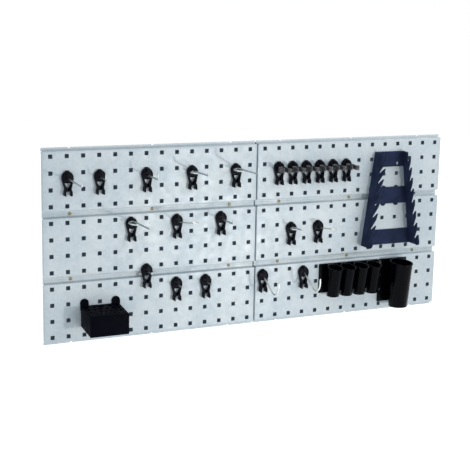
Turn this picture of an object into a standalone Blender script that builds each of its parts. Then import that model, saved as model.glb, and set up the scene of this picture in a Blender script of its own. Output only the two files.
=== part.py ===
"""A pegboard tool wall: six folded steel panels with square holes, and the clips, hooks, spring
clamps, wrench rack, drill box and cups that hang on them.

Metres, +Z up. +X runs to the right and +Y into the wall. The origin lies on the wall's surface,
behind the middle of the board. Everything that hangs on the board is placed by the column and
the row of a hole, counted from the board's top left.
"""

import math

import bmesh
import bpy
from mathutils import Matrix, Vector

# Fits
GAP = 0.0003              # clearance between pieces that touch
LUG_CLEARANCE = 0.0003    # room on each side of a lug in its square hole

# Panels
PITCH = 0.038             # hole to hole, both ways
HOLE = 0.0098             # side of a square hole
HOLE_COLUMNS = 14         # holes across one panel
HOLE_ROWS = 4             # holes up one panel
PANELS_ACROSS = 2
PANELS_UP = 3
SHEET = 0.001             # sheet thickness
PANEL_WIDTH = 0.531
PANEL_HEIGHT = 0.138      # of the raised face
PANEL_DEPTH = 0.013       # wall to the front of the face
PANEL_JOINT = 0.003       # gap between two panels side by side
LIP = 0.007               # height of the flat lip along the top and bottom
FOLD_RADIUS = 0.0018      # outside of the folds round the face
LIP_FOLD_RADIUS = 0.0008
FOLD_STEPS = 2
SCREW_NOTCH_RADIUS = 0.003
SCREW_SPACING = 0.200

FACE_Y = -PANEL_DEPTH
COLUMN_WIDTH = PANEL_WIDTH + PANEL_JOINT
ROW_HEIGHT = PANEL_HEIGHT + 2 * LIP

# Lugs, with which everything holds on to the holes
LUG_LENGTH = 0.0055       # from the front of the face inwards
LUG_ROOT = 0.0015         # inside the piece that carries it
LUG_SIDE = HOLE - 2 * LUG_CLEARANCE

# Clips
CLIP_HEAD_RADIUS = 0.0138
CLIP_HEAD_DROP = 0.0095   # hole centre down to the centre of the round head
CLIP_HEAD_DEPTH = 0.008
CLIP_FOOT_DEPTH = 0.015
CLIP_KNOB_WIDTH = 0.010
CLIP_KNOB_RISE = 0.0015   # above the round head
CLIP_SHOULDER = 0.0135    # all heights below are measured down from the upper hole
CLIP_WINDOW_TOP = 0.0195
CLIP_WINDOW_WIDE = 0.024
CLIP_WINDOW_HALF = 0.0078
CLIP_FOOT_TOP = 0.0035        # below the lower hole
CLIP_FOOT_END = 0.0140        # below the lower hole
CLIP_WAIST_OUTER = 0.0070
CLIP_WAIST_INNER = 0.0025
CLIP_FOOT_OUTER = 0.0092
CLIP_LEG = 0.0030         # thickness of a foot
CLIP_EASE = 0.0015        # steps and slants between the legs' straight runs
CLIP_PRONG = 0.0020       # thickness of a prong in the lower hole

# Wire hooks, which sit in a bore in the clip's head
WIRE = 0.0040
THIN_WIRE = 0.0032
WIRE_BORE_DROP = 0.0125   # hole centre down to the bore
WIRE_BORE = WIRE + 2 * GAP
WIRE_ROOT = 0.0060        # length inside the head
BEND = 0.005              # bend radius of the wire

# Spring clamps, bent from strip
CLAMP_STRIP = 0.0012
CLAMP_HEIGHT = 0.012
CLAMP_BASE_HALF = 0.0055
CLAMP_JAW_HALF = 0.0085
CLAMP_PINCH_HALF = 0.0048
CLAMP_MOUTH_HALF = 0.0105
CLAMP_JAW_LENGTH = 0.022
CLAMP_PINCH_AT = 0.031
CLAMP_LENGTH = 0.040

# Wrench rack
RACK_CENTRE_SHIFT = -0.0055   # from midway between its two columns
RACK_TOP_HALF = 0.039
RACK_BOTTOM_HALF = 0.070
RACK_TOP_DEPTH = 0.031        # of the top edge
RACK_TEETH_DEPTH = 0.045      # of the uppermost tooth
RACK_FOOT_DEPTH = 0.049       # of the lowest tooth
RACK_LEAN = 0.008             # how far the tops of the combs lean inwards at the front
RACK_TOP_ABOVE = 0.095        # above the upper hole of its middle plate
RACK_HEIGHT = 0.241
RACK_PLATE = 0.0035
RACK_END_PLATE = 0.039        # height of the top and the foot plate
RACK_COMB = 0.004
RACK_SLOTS = 8
RACK_FIRST_TIP = 0.010        # from the top to the tip of the uppermost finger
RACK_FIRST_STEP = 0.0258      # from the first tip to the second
RACK_STEP_GROWTH = 0.001      # by which each step grows
RACK_SLOT_WIDTH = 0.004       # at the slot's floor
RACK_MOUTH = 0.013            # height of a slot's mouth above the tip
RACK_MOUTH_INSET = 0.004      # how far the finger's foot lies behind its tip
RACK_SLOT_LENGTH = 0.024
RACK_SLOT_SLOPE = math.radians(42)
RACK_TIP = 0.007              # length over which a tip is rounded
RACK_FOOT_CUT = 0.006
RACK_BOSS_RADIUS = 0.007
RACK_WAIST_RISE = 0.003       # of the middle plate above its holes
RACK_HANG_HOLE_RADIUS = 0.0045
RACK_HANG_HOLE_DROP = 0.031

# Drill box
BOX_WIDTH = 0.093
BOX_DEPTH = 0.071
BOX_HEIGHT = 0.049
BOX_DROP = 0.0085             # how much lower the front is than the back
BOX_BELOW = 0.007             # ear hole down to the top of the back
BOX_EAR_RADIUS = 0.010
BOX_EAR = 0.003               # thickness of an ear
BOX_EAR_ROOT = 0.010          # how far an ear reaches down into the box
BOX_HOLES = ((5, 0.0100), (6, 0.0080), (7, 0.0064), (8, 0.0050))
BOX_HOLE_DEPTH = 0.030
BOX_MARGIN = 0.010

# Cups and the plates that carry them
CUP_PLATE = 0.003
CUP_PLATE_TOP = 0.0052        # above the upper hole row
CUP_WALL = 0.0016
CUP_FLOOR = 0.0020
CUP_SIDES = 24
CUP_RIM_DROP = 0.0004         # plate top down to the back of the cup's rim
CUP_LIP = 0.0014              # how far the lip round the rim stands out
CUP_LIP_HEIGHT = 0.003
SMALL_CUP_HALF_WIDTH = 0.0186
SMALL_CUP_HALF_DEPTH = 0.0235
SMALL_CUP_FOOT_RADIUS = 0.0150
SMALL_CUP_HEIGHT = 0.0805     # at the back
SMALL_CUP_SLOPE = 0.0080      # how much lower the rim is at the front
SMALL_CUP_ROOM = 0.0008       # between two rims
SMALL_CUP_COUNT = 4
SMALL_PLATE_MARGIN = 0.030    # beyond the outer cups' centres
SMALL_PLATE_HEIGHT = 0.075
LARGE_CUP_HALF_WIDTH = 0.0280
LARGE_CUP_HALF_DEPTH = 0.0340
LARGE_CUP_FOOT_RADIUS = 0.0245
LARGE_CUP_HEIGHT = 0.1215
LARGE_CUP_SLOPE = 0.0050
LARGE_PLATE_LEFT = 0.044      # from the cup's middle to the plate's left edge
LARGE_PLATE_RIGHT = 0.032
LARGE_PLATE_HEIGHT = 0.113
LARGE_PLATE_HOLE = 0.003
PLATE_ROOM = 0.001            # least gap between the two cup plates
HANGER_WIDTH = 0.016          # of the ledge that a cup hangs on
HANGER_STRIP = 0.002
HANGER_DEEP = 0.008           # height of the turned-up ledge
HANGER_SINK = 0.0002          # top of the hanger below the rim

SMALL_CUP_SPACING = 2 * SMALL_CUP_HALF_WIDTH + SMALL_CUP_ROOM

# Places, as (column, row) of the upper hole
PEG_CLIPS = {
    "1_1": (1, 1), "1_2": (3, 1), "1_3": (6, 1), "1_4": (9, 1), "1_5": (12, 1),
    "2_1": (5, 4), "2_2": (8, 4), "2_3": (11, 4), "2_4": (16, 5), "2_5": (18, 5),
    "3_1": (6, 7), "3_2": (8, 8), "3_3": (10, 8), "3_4": (14, 8), "3_5": (17, 8),
}
CLAMP_CLIPS = {str(i + 1): (15 + i, 1) for i in range(6)}
RACK_HOLE = (23, 3)
BOX_HOLE = (3, 9)
SMALL_CUP_HOLE = (19, 8)

# Colours: linear RGB, roughness, metallic
GALVANISED = ((0.66, 0.71, 0.74), 0.42, 0.55)
BLACK_PLASTIC = ((0.012, 0.012, 0.017), 0.42, 0.0)
STEEL_WIRE = ((0.50, 0.52, 0.52), 0.30, 1.0)
SPRING_STEEL = ((0.10, 0.10, 0.11), 0.35, 0.9)


# ---------------------------------------------------------------- helpers

def material(name, finish):
    colour, roughness, metallic = finish
    mat = bpy.data.materials.get(name)
    if mat is None:
        mat = bpy.data.materials.new(name)
        mat.use_nodes = True
        shader = mat.node_tree.nodes["Principled BSDF"]
        shader.inputs["Base Color"].default_value = (*colour, 1.0)
        shader.inputs["Roughness"].default_value = roughness
        shader.inputs["Metallic"].default_value = metallic
        mat.diffuse_color = (*colour, 1.0)
    return mat


def add_object(name, mesh, place=(0.0, 0.0, 0.0)):
    obj = bpy.data.objects.new(name, mesh)
    obj.location = place
    bpy.context.scene.collection.objects.link(obj)
    return obj


def finish_mesh(bm, name):
    bmesh.ops.recalc_face_normals(bm, faces=bm.faces)
    mesh = bpy.data.meshes.new(name)
    bm.to_mesh(mesh)
    bm.free()
    return mesh


def add_block(bm, low, high):
    """Adds a box between two corners."""
    low = Vector(low)
    high = Vector(high)
    size = high - low
    made = bmesh.ops.create_cube(bm, size=1.0)
    bmesh.ops.scale(bm, vec=size, verts=made["verts"])
    bmesh.ops.translate(bm, vec=(low + high) / 2, verts=made["verts"])
    return made["verts"]


def add_rod(bm, centre, direction, radius, length, sides=8):
    """Adds a round bar centred on a point."""
    turn = Vector(direction).to_track_quat("Z", "Y").to_matrix().to_4x4()
    return bmesh.ops.create_cone(bm, cap_ends=True, segments=sides, radius1=radius,
                                 radius2=radius, depth=length,
                                 matrix=Matrix.Translation(centre) @ turn)["verts"]


def slab(bm, outline, thickness, place):
    """Extrudes an outline. place turns each (u, v, depth) into a point."""
    low = [bm.verts.new(place(u, v, 0.0)) for u, v in outline]
    face = bm.faces.new(low)
    made = bmesh.ops.extrude_face_region(bm, geom=[face])
    moved = [item for item in made["geom"] if isinstance(item, bmesh.types.BMVert)]
    step = Vector(place(0.0, 0.0, thickness)) - Vector(place(0.0, 0.0, 0.0))
    bmesh.ops.translate(bm, vec=step, verts=moved)
    return moved


def arc(centre, radius, start, end, steps):
    """Points on an arc in a plane, both ends included, with angles in degrees."""
    points = []
    for i in range(steps + 1):
        angle = math.radians(start + (end - start) * i / steps)
        points.append((centre[0] + radius * math.cos(angle),
                       centre[1] + radius * math.sin(angle)))
    return points


def carve(base, changes, name):
    """Unites or cuts a mesh with others by Boolean modifiers, and returns the result as a mesh."""
    body = add_object(name + "_base", base)
    tools = []
    for number, (operation, tool_mesh) in enumerate(changes):
        tool = add_object(f"{name}_tool_{number}", tool_mesh)
        tool.hide_render = True
        tool.display_type = "WIRE"
        modifier = body.modifiers.new(f"change_{number}", "BOOLEAN")
        modifier.operation = operation
        modifier.solver = "EXACT"
        modifier.object = tool
        tools.append(tool)
    graph = bpy.context.evaluated_depsgraph_get()
    result = bpy.data.meshes.new_from_object(body.evaluated_get(graph))
    result.name = name
    bm = bmesh.new()
    bm.from_mesh(result)
    bmesh.ops.remove_doubles(bm, verts=bm.verts, dist=1e-6)
    bmesh.ops.dissolve_degenerate(bm, edges=bm.edges, dist=1e-6)
    bm.to_mesh(result)
    bm.free()
    for obj in [body] + tools:
        bpy.data.objects.remove(obj)
    return result


def smooth(mesh, degrees=35):
    mesh.shade_smooth()
    mesh.set_sharp_from_angle(angle=math.radians(degrees))


def hole_point(column, row):
    """Centre of a hole, on the front of the board. Row 0 is the top one."""
    panel_column, local_column = divmod(column, HOLE_COLUMNS)
    panel_row, local_row = divmod(row, HOLE_ROWS)
    x = (panel_column - (PANELS_ACROSS - 1) / 2) * COLUMN_WIDTH
    x += (local_column - (HOLE_COLUMNS - 1) / 2) * PITCH
    z = ((PANELS_UP - 1) / 2 - panel_row) * ROW_HEIGHT
    z += ((HOLE_ROWS - 1) / 2 - local_row) * PITCH
    return Vector((x, FACE_Y, z))


def lug(bm, x, z, width=LUG_SIDE, height=LUG_SIDE):
    """A square peg through a hole, starting inside the piece in front of the board."""
    low = (x - width / 2, -LUG_ROOT, z - height / 2)
    high = (x + width / 2, LUG_LENGTH, z + height / 2)
    add_block(bm, low, high)


def drop_below(hole):
    """How far the next hole down lies below a hole, also across the joint of two panels."""
    column, row = hole
    return hole_point(column, row).z - hole_point(column, row + 1).z


# ---------------------------------------------------------------- panels

def fold_out(bm, edges, outward, steps):
    """Extrudes an edge of the sheet step by step, each step as (outward, back, wider at each end)."""
    last = (0.0, 0.0, 0.0)
    for out, back, wider in steps:
        made = bmesh.ops.extrude_edge_only(bm, edges=edges)["geom"]
        verts = [item for item in made if isinstance(item, bmesh.types.BMVert)]
        edges = [item for item in made if isinstance(item, bmesh.types.BMEdge)
                 and all(vert in verts for vert in item.verts)]
        move = outward * (out - last[0]) + Vector((0.0, back - last[1], 0.0))
        bmesh.ops.translate(bm, vec=move, verts=verts)
        for vert in verts:
            vert.co.x += math.copysign(wider - last[2], vert.co.x)
        last = (out, back, wider)


def fold_steps(lip_end):
    """The side view of a folded edge: round the fold, back, and out again along the wall."""
    steps = []
    for i in range(1, FOLD_STEPS + 1):
        angle = math.pi / 2 * i / FOLD_STEPS
        steps.append((FOLD_RADIUS * math.sin(angle), FOLD_RADIUS * (1 - math.cos(angle)), 0.0))
    lip_front = PANEL_DEPTH - SHEET
    if lip_end is None:
        steps.append((FOLD_RADIUS, lip_front, 0.0))
        return steps
    steps.append((FOLD_RADIUS, lip_front - LIP_FOLD_RADIUS, 0.0))
    # The lip reaches out to the panel's sides.
    for i in range(1, FOLD_STEPS + 1):
        angle = math.pi / 2 * i / FOLD_STEPS
        steps.append((FOLD_RADIUS + LIP_FOLD_RADIUS * (1 - math.cos(angle)),
                      lip_front - LIP_FOLD_RADIUS * (1 - math.sin(angle)),
                      FOLD_RADIUS * i / FOLD_STEPS))
    steps.append((FOLD_RADIUS + lip_end, lip_front, FOLD_RADIUS))
    return steps


def panel_mesh():
    half_width = PANEL_WIDTH / 2 - FOLD_RADIUS
    half_height = PANEL_HEIGHT / 2 - FOLD_RADIUS
    bm = bmesh.new()
    corners = [bm.verts.new((x * half_width, 0.0, z * half_height))
               for x, z in ((-1, -1), (1, -1), (1, 1), (-1, 1))]
    face = bm.faces.new(corners)
    sides = {"bottom": Vector((0, 0, -1)), "right": Vector((1, 0, 0)),
             "top": Vector((0, 0, 1)), "left": Vector((-1, 0, 0))}
    edges = dict(zip(sides, list(face.edges)))
    for side, outward in sides.items():
        has_lip = side in ("top", "bottom")
        lip_end = LIP - GAP / 2 if has_lip else None
        fold_out(bm, [edges[side]], outward, fold_steps(lip_end))
    sheet = finish_mesh(bm, "panel_sheet")
    front = min(sheet.polygons, key=lambda polygon: polygon.center.y)
    if front.normal.y > 0:
        sheet.flip_normals()

    folded = add_object("panel_folded", sheet)
    thick = folded.modifiers.new("thickness", "SOLIDIFY")
    thick.thickness = SHEET
    thick.offset = -1.0
    thick.use_even_offset = True
    graph = bpy.context.evaluated_depsgraph_get()
    solid = bpy.data.meshes.new_from_object(folded.evaluated_get(graph))
    bpy.data.objects.remove(folded)

    bm = bmesh.new()
    for column in range(HOLE_COLUMNS):
        for row in range(HOLE_ROWS):
            x = (column - (HOLE_COLUMNS - 1) / 2) * PITCH
            z = (row - (HOLE_ROWS - 1) / 2) * PITCH
            add_block(bm, (x - HOLE / 2, -SHEET, z - HOLE / 2), (x + HOLE / 2, 2 * SHEET, z + HOLE / 2))
    square_holes = finish_mesh(bm, "square_holes")

    bm = bmesh.new()
    for x in (-SCREW_SPACING, 0.0, SCREW_SPACING):
        for side in (-1, 1):
            add_rod(bm, (x, PANEL_DEPTH - SHEET / 2, side * ROW_HEIGHT / 2), (0, 1, 0),
                    SCREW_NOTCH_RADIUS, 4 * SHEET, sides=12)
    notches = finish_mesh(bm, "screw_notches")
    return carve(solid, [("DIFFERENCE", square_holes), ("DIFFERENCE", notches)], "panel")


def build_panels():
    mesh = panel_mesh()
    mesh.materials.append(material("galvanised_sheet", GALVANISED))
    smooth(mesh, 30)
    for row, level in enumerate(("top", "middle", "bottom")):
        for column, side in enumerate(("left", "right")):
            x = (column - (PANELS_ACROSS - 1) / 2) * COLUMN_WIDTH
            z = ((PANELS_UP - 1) / 2 - row) * ROW_HEIGHT
            add_object(f"panel_{level}_{side}", mesh, (x, FACE_Y, z))


# ---------------------------------------------------------------- clips

def clip_outline(drop):
    """The clip seen from the front, from the top round; drop is the way down to the lower hole."""
    head = (0.0, -CLIP_HEAD_DROP)
    half_knob = CLIP_KNOB_WIDTH / 2
    knob_angle = math.degrees(math.acos(half_knob / CLIP_HEAD_RADIUS))
    top = CLIP_HEAD_RADIUS - CLIP_HEAD_DROP + CLIP_KNOB_RISE
    right = [(half_knob, top)]
    right += arc(head, CLIP_HEAD_RADIUS, knob_angle, 0.0, 4)
    foot_top = -drop - CLIP_FOOT_TOP
    foot_end = -drop - CLIP_FOOT_END
    foot_inner = CLIP_FOOT_OUTER - CLIP_LEG
    right += [
        (CLIP_HEAD_RADIUS, -CLIP_SHOULDER),
        (CLIP_WAIST_OUTER, -drop + CLIP_EASE),
        (CLIP_FOOT_OUTER, foot_top),
        (CLIP_FOOT_OUTER, foot_end + CLIP_EASE),
        (foot_inner, foot_end),
        (foot_inner, foot_top - CLIP_EASE),
        (CLIP_WAIST_INNER, -drop - CLIP_EASE),
        (CLIP_WAIST_INNER, -drop + 3 * CLIP_EASE),
        (CLIP_WINDOW_HALF, -CLIP_WINDOW_WIDE),
        (CLIP_WINDOW_HALF - CLIP_EASE, -CLIP_WINDOW_TOP - CLIP_EASE),
        (CLIP_WINDOW_HALF - 3 * CLIP_EASE, -CLIP_WINDOW_TOP),
    ]
    left = [(-x, z) for x, z in reversed(right)]
    return right + left


def clip_mesh(drop):
    """The clip, with its upper hole's centre on the board's front at the origin."""
    bm = bmesh.new()
    front = slab(bm, clip_outline(drop), CLIP_HEAD_DEPTH, lambda x, z, depth: (x, -GAP - depth, z))
    bmesh.ops.triangulate(bm, faces=bm.faces)
    slope = (CLIP_FOOT_DEPTH - CLIP_HEAD_DEPTH) / (drop + CLIP_FOOT_END - CLIP_WINDOW_TOP)
    for vert in front:
        vert.co.y -= slope * max(0.0, -vert.co.z - CLIP_WINDOW_TOP)
    body = finish_mesh(bm, "clip_body")

    bm = bmesh.new()
    lug(bm, 0.0, 0.0)
    tongue = finish_mesh(bm, "clip_tongue")
    bm = bmesh.new()
    for side in (-1, 1):
        lug(bm, side * (LUG_SIDE - CLIP_PRONG) / 2, -drop, width=CLIP_PRONG)
    prongs = finish_mesh(bm, "clip_prongs")
    bm = bmesh.new()
    add_rod(bm, (0.0, -GAP - CLIP_HEAD_DEPTH, -WIRE_BORE_DROP), (0, 1, 0), WIRE_BORE / 2,
            2 * (WIRE_ROOT + GAP), sides=10)
    bore = finish_mesh(bm, "wire_bore")
    changes = [("UNION", tongue), ("UNION", prongs), ("DIFFERENCE", bore)]
    return carve(body, changes, "clip")


def build_clips():
    plastic = material("black_clip_plastic", BLACK_PLASTIC)
    meshes = {}
    places = {f"clip_{name}": hole for name, hole in PEG_CLIPS.items()}
    places.update({f"clamp_clip_{name}": hole for name, hole in CLAMP_CLIPS.items()})
    for name, hole in places.items():
        drop = round(drop_below(hole), 6)
        if drop not in meshes:
            meshes[drop] = clip_mesh(drop)
            meshes[drop].materials.append(plastic)
            smooth(meshes[drop], 30)
        add_object(name, meshes[drop], hole_point(*hole))


# ---------------------------------------------------------------- wire hooks

def rounded_route(corners, radius, steps=3):
    """Runs through the corners with each turn rounded off."""
    points = [Vector(corners[0])]
    for before, corner, after in zip(corners, corners[1:], corners[2:]):
        corner = Vector(corner)
        arrive = (Vector(before) - corner)
        leave = (Vector(after) - corner)
        reach = min(radius, 0.45 * arrive.length, 0.45 * leave.length)
        start = corner + arrive.normalized() * reach
        end = corner + leave.normalized() * reach
        for i in range(steps + 1):
            t = i / steps
            points.append(start * (1 - t) ** 2 + corner * 2 * t * (1 - t) + end * t ** 2)
    points.append(Vector(corners[-1]))
    return points


def root_point():
    """Inner end of a wire in the clip's bore, from the upper hole's centre."""
    return Vector((0.0, -GAP - CLIP_HEAD_DEPTH + WIRE_ROOT, -WIRE_BORE_DROP))


def peg_route(reach, sag, tip):
    """A straight peg of a given reach from the board, with its end turned up."""
    start = root_point()
    front = start + Vector((0.0, -CLIP_HEAD_DEPTH - 0.002, 0.0))
    end = Vector((0.0, -reach, start.z - sag))
    return rounded_route([start, front, end, end + Vector((0.0, -0.1 * tip, tip))], BEND)


def pigtail_route(reach, loop_radius, rise, tip, turns=10):
    """A wire that makes one flat turn in front of the clip and then runs on forward."""
    start = root_point()
    loop_back = -GAP - CLIP_HEAD_DEPTH - 0.003
    centre = Vector((0.0, loop_back - loop_radius, start.z))
    points = [start]
    for i in range(turns + 1):
        angle = 2 * math.pi * i / turns
        points.append(Vector((loop_radius * math.sin(angle), centre.y + loop_radius * math.cos(angle),
                              start.z + rise * i / turns)))
    over = Vector((0.0, loop_back - 2 * loop_radius - 0.006, start.z + rise + 0.001))
    end = Vector((0.0, -reach, over.z))
    points += rounded_route([over, end, end + Vector((0.0, -0.1 * tip, tip))], BEND)
    return points


def ring_end_route(reach, rise, ring_radius, turns=10):
    """A thin wire that climbs forward and ends in a small open ring."""
    start = root_point()
    front = start + Vector((0.0, -CLIP_HEAD_DEPTH - 0.002, 0.0))
    neck = Vector((0.0, -reach + 2 * ring_radius, start.z + rise))
    points = rounded_route([start, front, neck], BEND)
    centre = neck + Vector((ring_radius, 0.0, 0.0))
    for i in range(1, turns):
        angle = math.pi + 1.8 * math.pi * i / turns
        points.append(centre + Vector((ring_radius * math.cos(angle), ring_radius * math.sin(angle), 0.0)))
    return points


def j_hook_route(reach, drop, tip):
    """A large J: down and forward from the clip, round the bottom and up to its tip."""
    start = root_point()
    radius = (reach - CLIP_HEAD_DEPTH) * 0.28
    bottom = start.z - drop
    centre = Vector((0.0, -reach + radius, bottom + radius))
    front = start + Vector((0.0, -CLIP_HEAD_DEPTH + 0.001, 0.0))
    points = [start, front]
    for angle in range(220, 361, 20):
        turn = math.radians(angle)
        points.append(centre + Vector((0.0, -radius * math.cos(turn), radius * math.sin(turn))))
    points.append(Vector((0.0, -reach, start.z + tip)))
    return points


def hook_routes():
    """Each hook's wire, by the name of its clip."""
    return {
        "1_1": (peg_route(0.112, 0.003, 0.005), WIRE),
        "1_2": (peg_route(0.045, 0.001, 0.012), THIN_WIRE),
        "1_3": (peg_route(0.074, 0.001, 0.014), WIRE),
        "1_4": (pigtail_route(0.095, 0.010, 0.005, 0.006), WIRE),
        "1_5": (pigtail_route(0.122, 0.014, 0.007, 0.016), WIRE),
        "2_1": (pigtail_route(0.122, 0.012, 0.009, 0.014), WIRE),
        "2_2": (ring_end_route(0.108, 0.012, 0.0070), THIN_WIRE),
        "2_3": (peg_route(0.072, 0.001, 0.006), WIRE),
        "2_4": (pigtail_route(0.058, 0.008, 0.006, 0.005), WIRE),
        "2_5": (ring_end_route(0.080, 0.007, 0.0065), THIN_WIRE),
        "3_1": (peg_route(0.038, 0.000, 0.003), WIRE),
        "3_2": (peg_route(0.042, 0.000, 0.003), WIRE),
        "3_3": (peg_route(0.042, 0.000, 0.003), WIRE),
        "3_4": (j_hook_route(0.090, 0.032, 0.001), WIRE),
        "3_5": (j_hook_route(0.090, 0.032, 0.001), WIRE),
    }


def wire_mesh(points, diameter, name):
    """A round wire along the points, as a closed mesh."""
    curve = bpy.data.curves.new(name, "CURVE")
    curve.dimensions = "3D"
    curve.bevel_depth = diameter / 2
    curve.bevel_resolution = 1
    curve.use_fill_caps = True
    spline = curve.splines.new("POLY")
    spline.points.add(len(points) - 1)
    for target, point in zip(spline.points, points):
        target.co = (*point, 1.0)
    holder = bpy.data.objects.new(name + "_curve", curve)
    bpy.context.scene.collection.objects.link(holder)
    graph = bpy.context.evaluated_depsgraph_get()
    mesh = bpy.data.meshes.new_from_object(holder.evaluated_get(graph))
    bpy.data.objects.remove(holder)
    bm = bmesh.new()
    bm.from_mesh(mesh)
    bmesh.ops.remove_doubles(bm, verts=bm.verts, dist=1e-6)
    bmesh.ops.recalc_face_normals(bm, faces=bm.faces)
    bm.to_mesh(mesh)
    bm.free()
    return mesh


def build_hooks():
    for name, (points, diameter) in hook_routes().items():
        mesh = wire_mesh(points, diameter, f"hook_{name}")
        mesh.materials.append(material("steel_wire", STEEL_WIRE))
        smooth(mesh, 60)
        add_object(f"hook_{name}", mesh, hole_point(*PEG_CLIPS[name]))


# ---------------------------------------------------------------- spring clamps

def clamp_outline():
    """The clamp seen from above as (x, forward), outside down one arm and back up the inside."""
    arm = [
        (CLAMP_BASE_HALF, 0.0),
        (CLAMP_JAW_HALF, 0.006),
        (CLAMP_JAW_HALF, CLAMP_JAW_LENGTH),
        (CLAMP_PINCH_HALF, CLAMP_PINCH_AT),
        (CLAMP_MOUTH_HALF, CLAMP_LENGTH),
    ]
    strip = CLAMP_STRIP
    inside = [
        (CLAMP_MOUTH_HALF - strip, CLAMP_LENGTH + 0.3 * strip),
        (CLAMP_PINCH_HALF - 1.3 * strip, CLAMP_PINCH_AT),
        (CLAMP_JAW_HALF - strip, CLAMP_JAW_LENGTH - 0.3 * strip),
        (CLAMP_JAW_HALF - strip, 0.006 + 0.4 * strip),
        (CLAMP_BASE_HALF - 0.4 * strip, strip),
    ]
    right = arm + inside
    left = [(-x, forward) for x, forward in reversed(right)]
    return right + left


def clamp_mesh():
    back = -GAP - CLIP_HEAD_DEPTH - GAP
    low = -WIRE_BORE_DROP - CLAMP_HEIGHT / 2
    bm = bmesh.new()
    slab(bm, clamp_outline(), CLAMP_HEIGHT, lambda x, forward, up: (x, back - forward, low + up))
    strip = finish_mesh(bm, "clamp_strip")
    bm = bmesh.new()
    add_rod(bm, (0.0, back - CLAMP_STRIP / 2 + WIRE_ROOT / 2, -WIRE_BORE_DROP), (0, 1, 0), WIRE / 2,
            WIRE_ROOT + CLAMP_STRIP / 2, sides=8)
    rivet = finish_mesh(bm, "clamp_rivet")
    return carve(strip, [("UNION", rivet)], "clamp")


def build_clamps():
    mesh = clamp_mesh()
    mesh.materials.append(material("spring_steel", SPRING_STEEL))
    smooth(mesh, 30)
    for name, hole in CLAMP_CLIPS.items():
        add_object(f"spring_clamp_{name}", mesh, hole_point(*hole))


# ---------------------------------------------------------------- wrench rack

def rack_half(level):
    """Half the rack's width at a level, 0 at its top and 1 at its foot."""
    return RACK_TOP_HALF + (RACK_BOTTOM_HALF - RACK_TOP_HALF) * level


def comb_outline():
    """Side view of a comb as (forward, up from the rack's top): slots run down and back."""
    back = Vector((-math.cos(RACK_SLOT_SLOPE), -math.sin(RACK_SLOT_SLOPE)))
    over = Vector((-math.sin(RACK_SLOT_SLOPE), math.cos(RACK_SLOT_SLOPE)))
    outline = [(0.0, 0.0), (RACK_TOP_DEPTH, 0.0)]
    down = RACK_FIRST_TIP
    step = RACK_FIRST_STEP
    for i in range(RACK_SLOTS):
        depth = RACK_TEETH_DEPTH + (RACK_FOOT_DEPTH - RACK_TEETH_DEPTH) * down / RACK_HEIGHT
        tip = Vector((depth, -down))
        floor = tip + back * RACK_SLOT_LENGTH
        if i > 0:
            outline.append((depth - RACK_MOUTH_INSET, RACK_MOUTH - down))
        outline.append(tuple(floor + over * RACK_SLOT_WIDTH - back * RACK_SLOT_WIDTH / 2))
        outline.append(tuple(floor + over * RACK_SLOT_WIDTH / 2))
        outline.append(tuple(floor - back * RACK_SLOT_WIDTH / 2))
        # The tip under the slot is rounded.
        start = tip + back * RACK_TIP
        end = tip - Vector((0.0, RACK_TIP))
        for share in (0.0, 0.35, 0.65, 1.0):
            point = start * (1 - share) ** 2 + tip * 2 * share * (1 - share) + end * share ** 2
            outline.append(tuple(point))
        down += step
        step += RACK_STEP_GROWTH
    outline += [(RACK_FOOT_DEPTH, -RACK_HEIGHT + RACK_FOOT_CUT),
                (RACK_FOOT_DEPTH - RACK_FOOT_CUT, -RACK_HEIGHT), (0.0, -RACK_HEIGHT)]
    return outline


def rack_mesh(drop):
    """The rack, with the upper left hole of its middle plate at the origin."""
    centre = PITCH / 2 + RACK_CENTRE_SHIFT
    top = RACK_TOP_ABOVE
    base = None
    changes = []
    for side in (-1, 1):
        bm = bmesh.new()
        slab(bm, comb_outline(), side * RACK_COMB, lambda forward, up, deep: (deep, -GAP - forward, top + up))
        bmesh.ops.triangulate(bm, faces=bm.faces)
        # The combs spread towards the foot and lean inwards towards the front.
        for vert in bm.verts:
            level = (top - vert.co.z) / RACK_HEIGHT
            forward = -GAP - vert.co.y
            lean = RACK_LEAN * (1 - level) * forward / RACK_TEETH_DEPTH
            vert.co.x += centre + side * (rack_half(level) - lean)
        comb = finish_mesh(bm, "rack_comb")
        if base is None:
            base = comb
        else:
            changes.append(("UNION", comb))

    def cross_plate(from_top, to_top):
        bm = bmesh.new()
        outline = []
        for side, down in ((-1, to_top), (1, to_top), (1, from_top), (-1, from_top)):
            half = rack_half(down / RACK_HEIGHT) + RACK_COMB / 2
            outline.append((centre + side * half, top - down))
        slab(bm, outline, RACK_PLATE, lambda x, z, deep: (x, -GAP - deep, z))
        return finish_mesh(bm, "rack_plate")

    changes.append(("UNION", cross_plate(0.0, RACK_END_PLATE)))
    changes.append(("UNION", cross_plate(RACK_TOP_ABOVE - RACK_WAIST_RISE, RACK_TOP_ABOVE + drop + RACK_WAIST_RISE / 2)))
    changes.append(("UNION", cross_plate(RACK_HEIGHT - RACK_END_PLATE, RACK_HEIGHT)))

    bosses = bmesh.new()
    lugs = bmesh.new()
    for x in (0.0, PITCH):
        for z in (0.0, -drop):
            add_rod(bosses, (x, -GAP - RACK_PLATE / 2, z), (0, 1, 0), RACK_BOSS_RADIUS, RACK_PLATE, sides=16)
            lug(lugs, x, z)
    changes.append(("UNION", finish_mesh(bosses, "rack_bosses")))
    changes.append(("UNION", finish_mesh(lugs, "rack_lugs")))
    bm = bmesh.new()
    add_rod(bm, (PITCH, 0.0, top - RACK_HANG_HOLE_DROP), (0, 1, 0), RACK_HANG_HOLE_RADIUS,
            RACK_TEETH_DEPTH / 2, sides=10)
    changes.append(("DIFFERENCE", finish_mesh(bm, "rack_hole")))
    return carve(base, changes, "wrench_rack")


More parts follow.
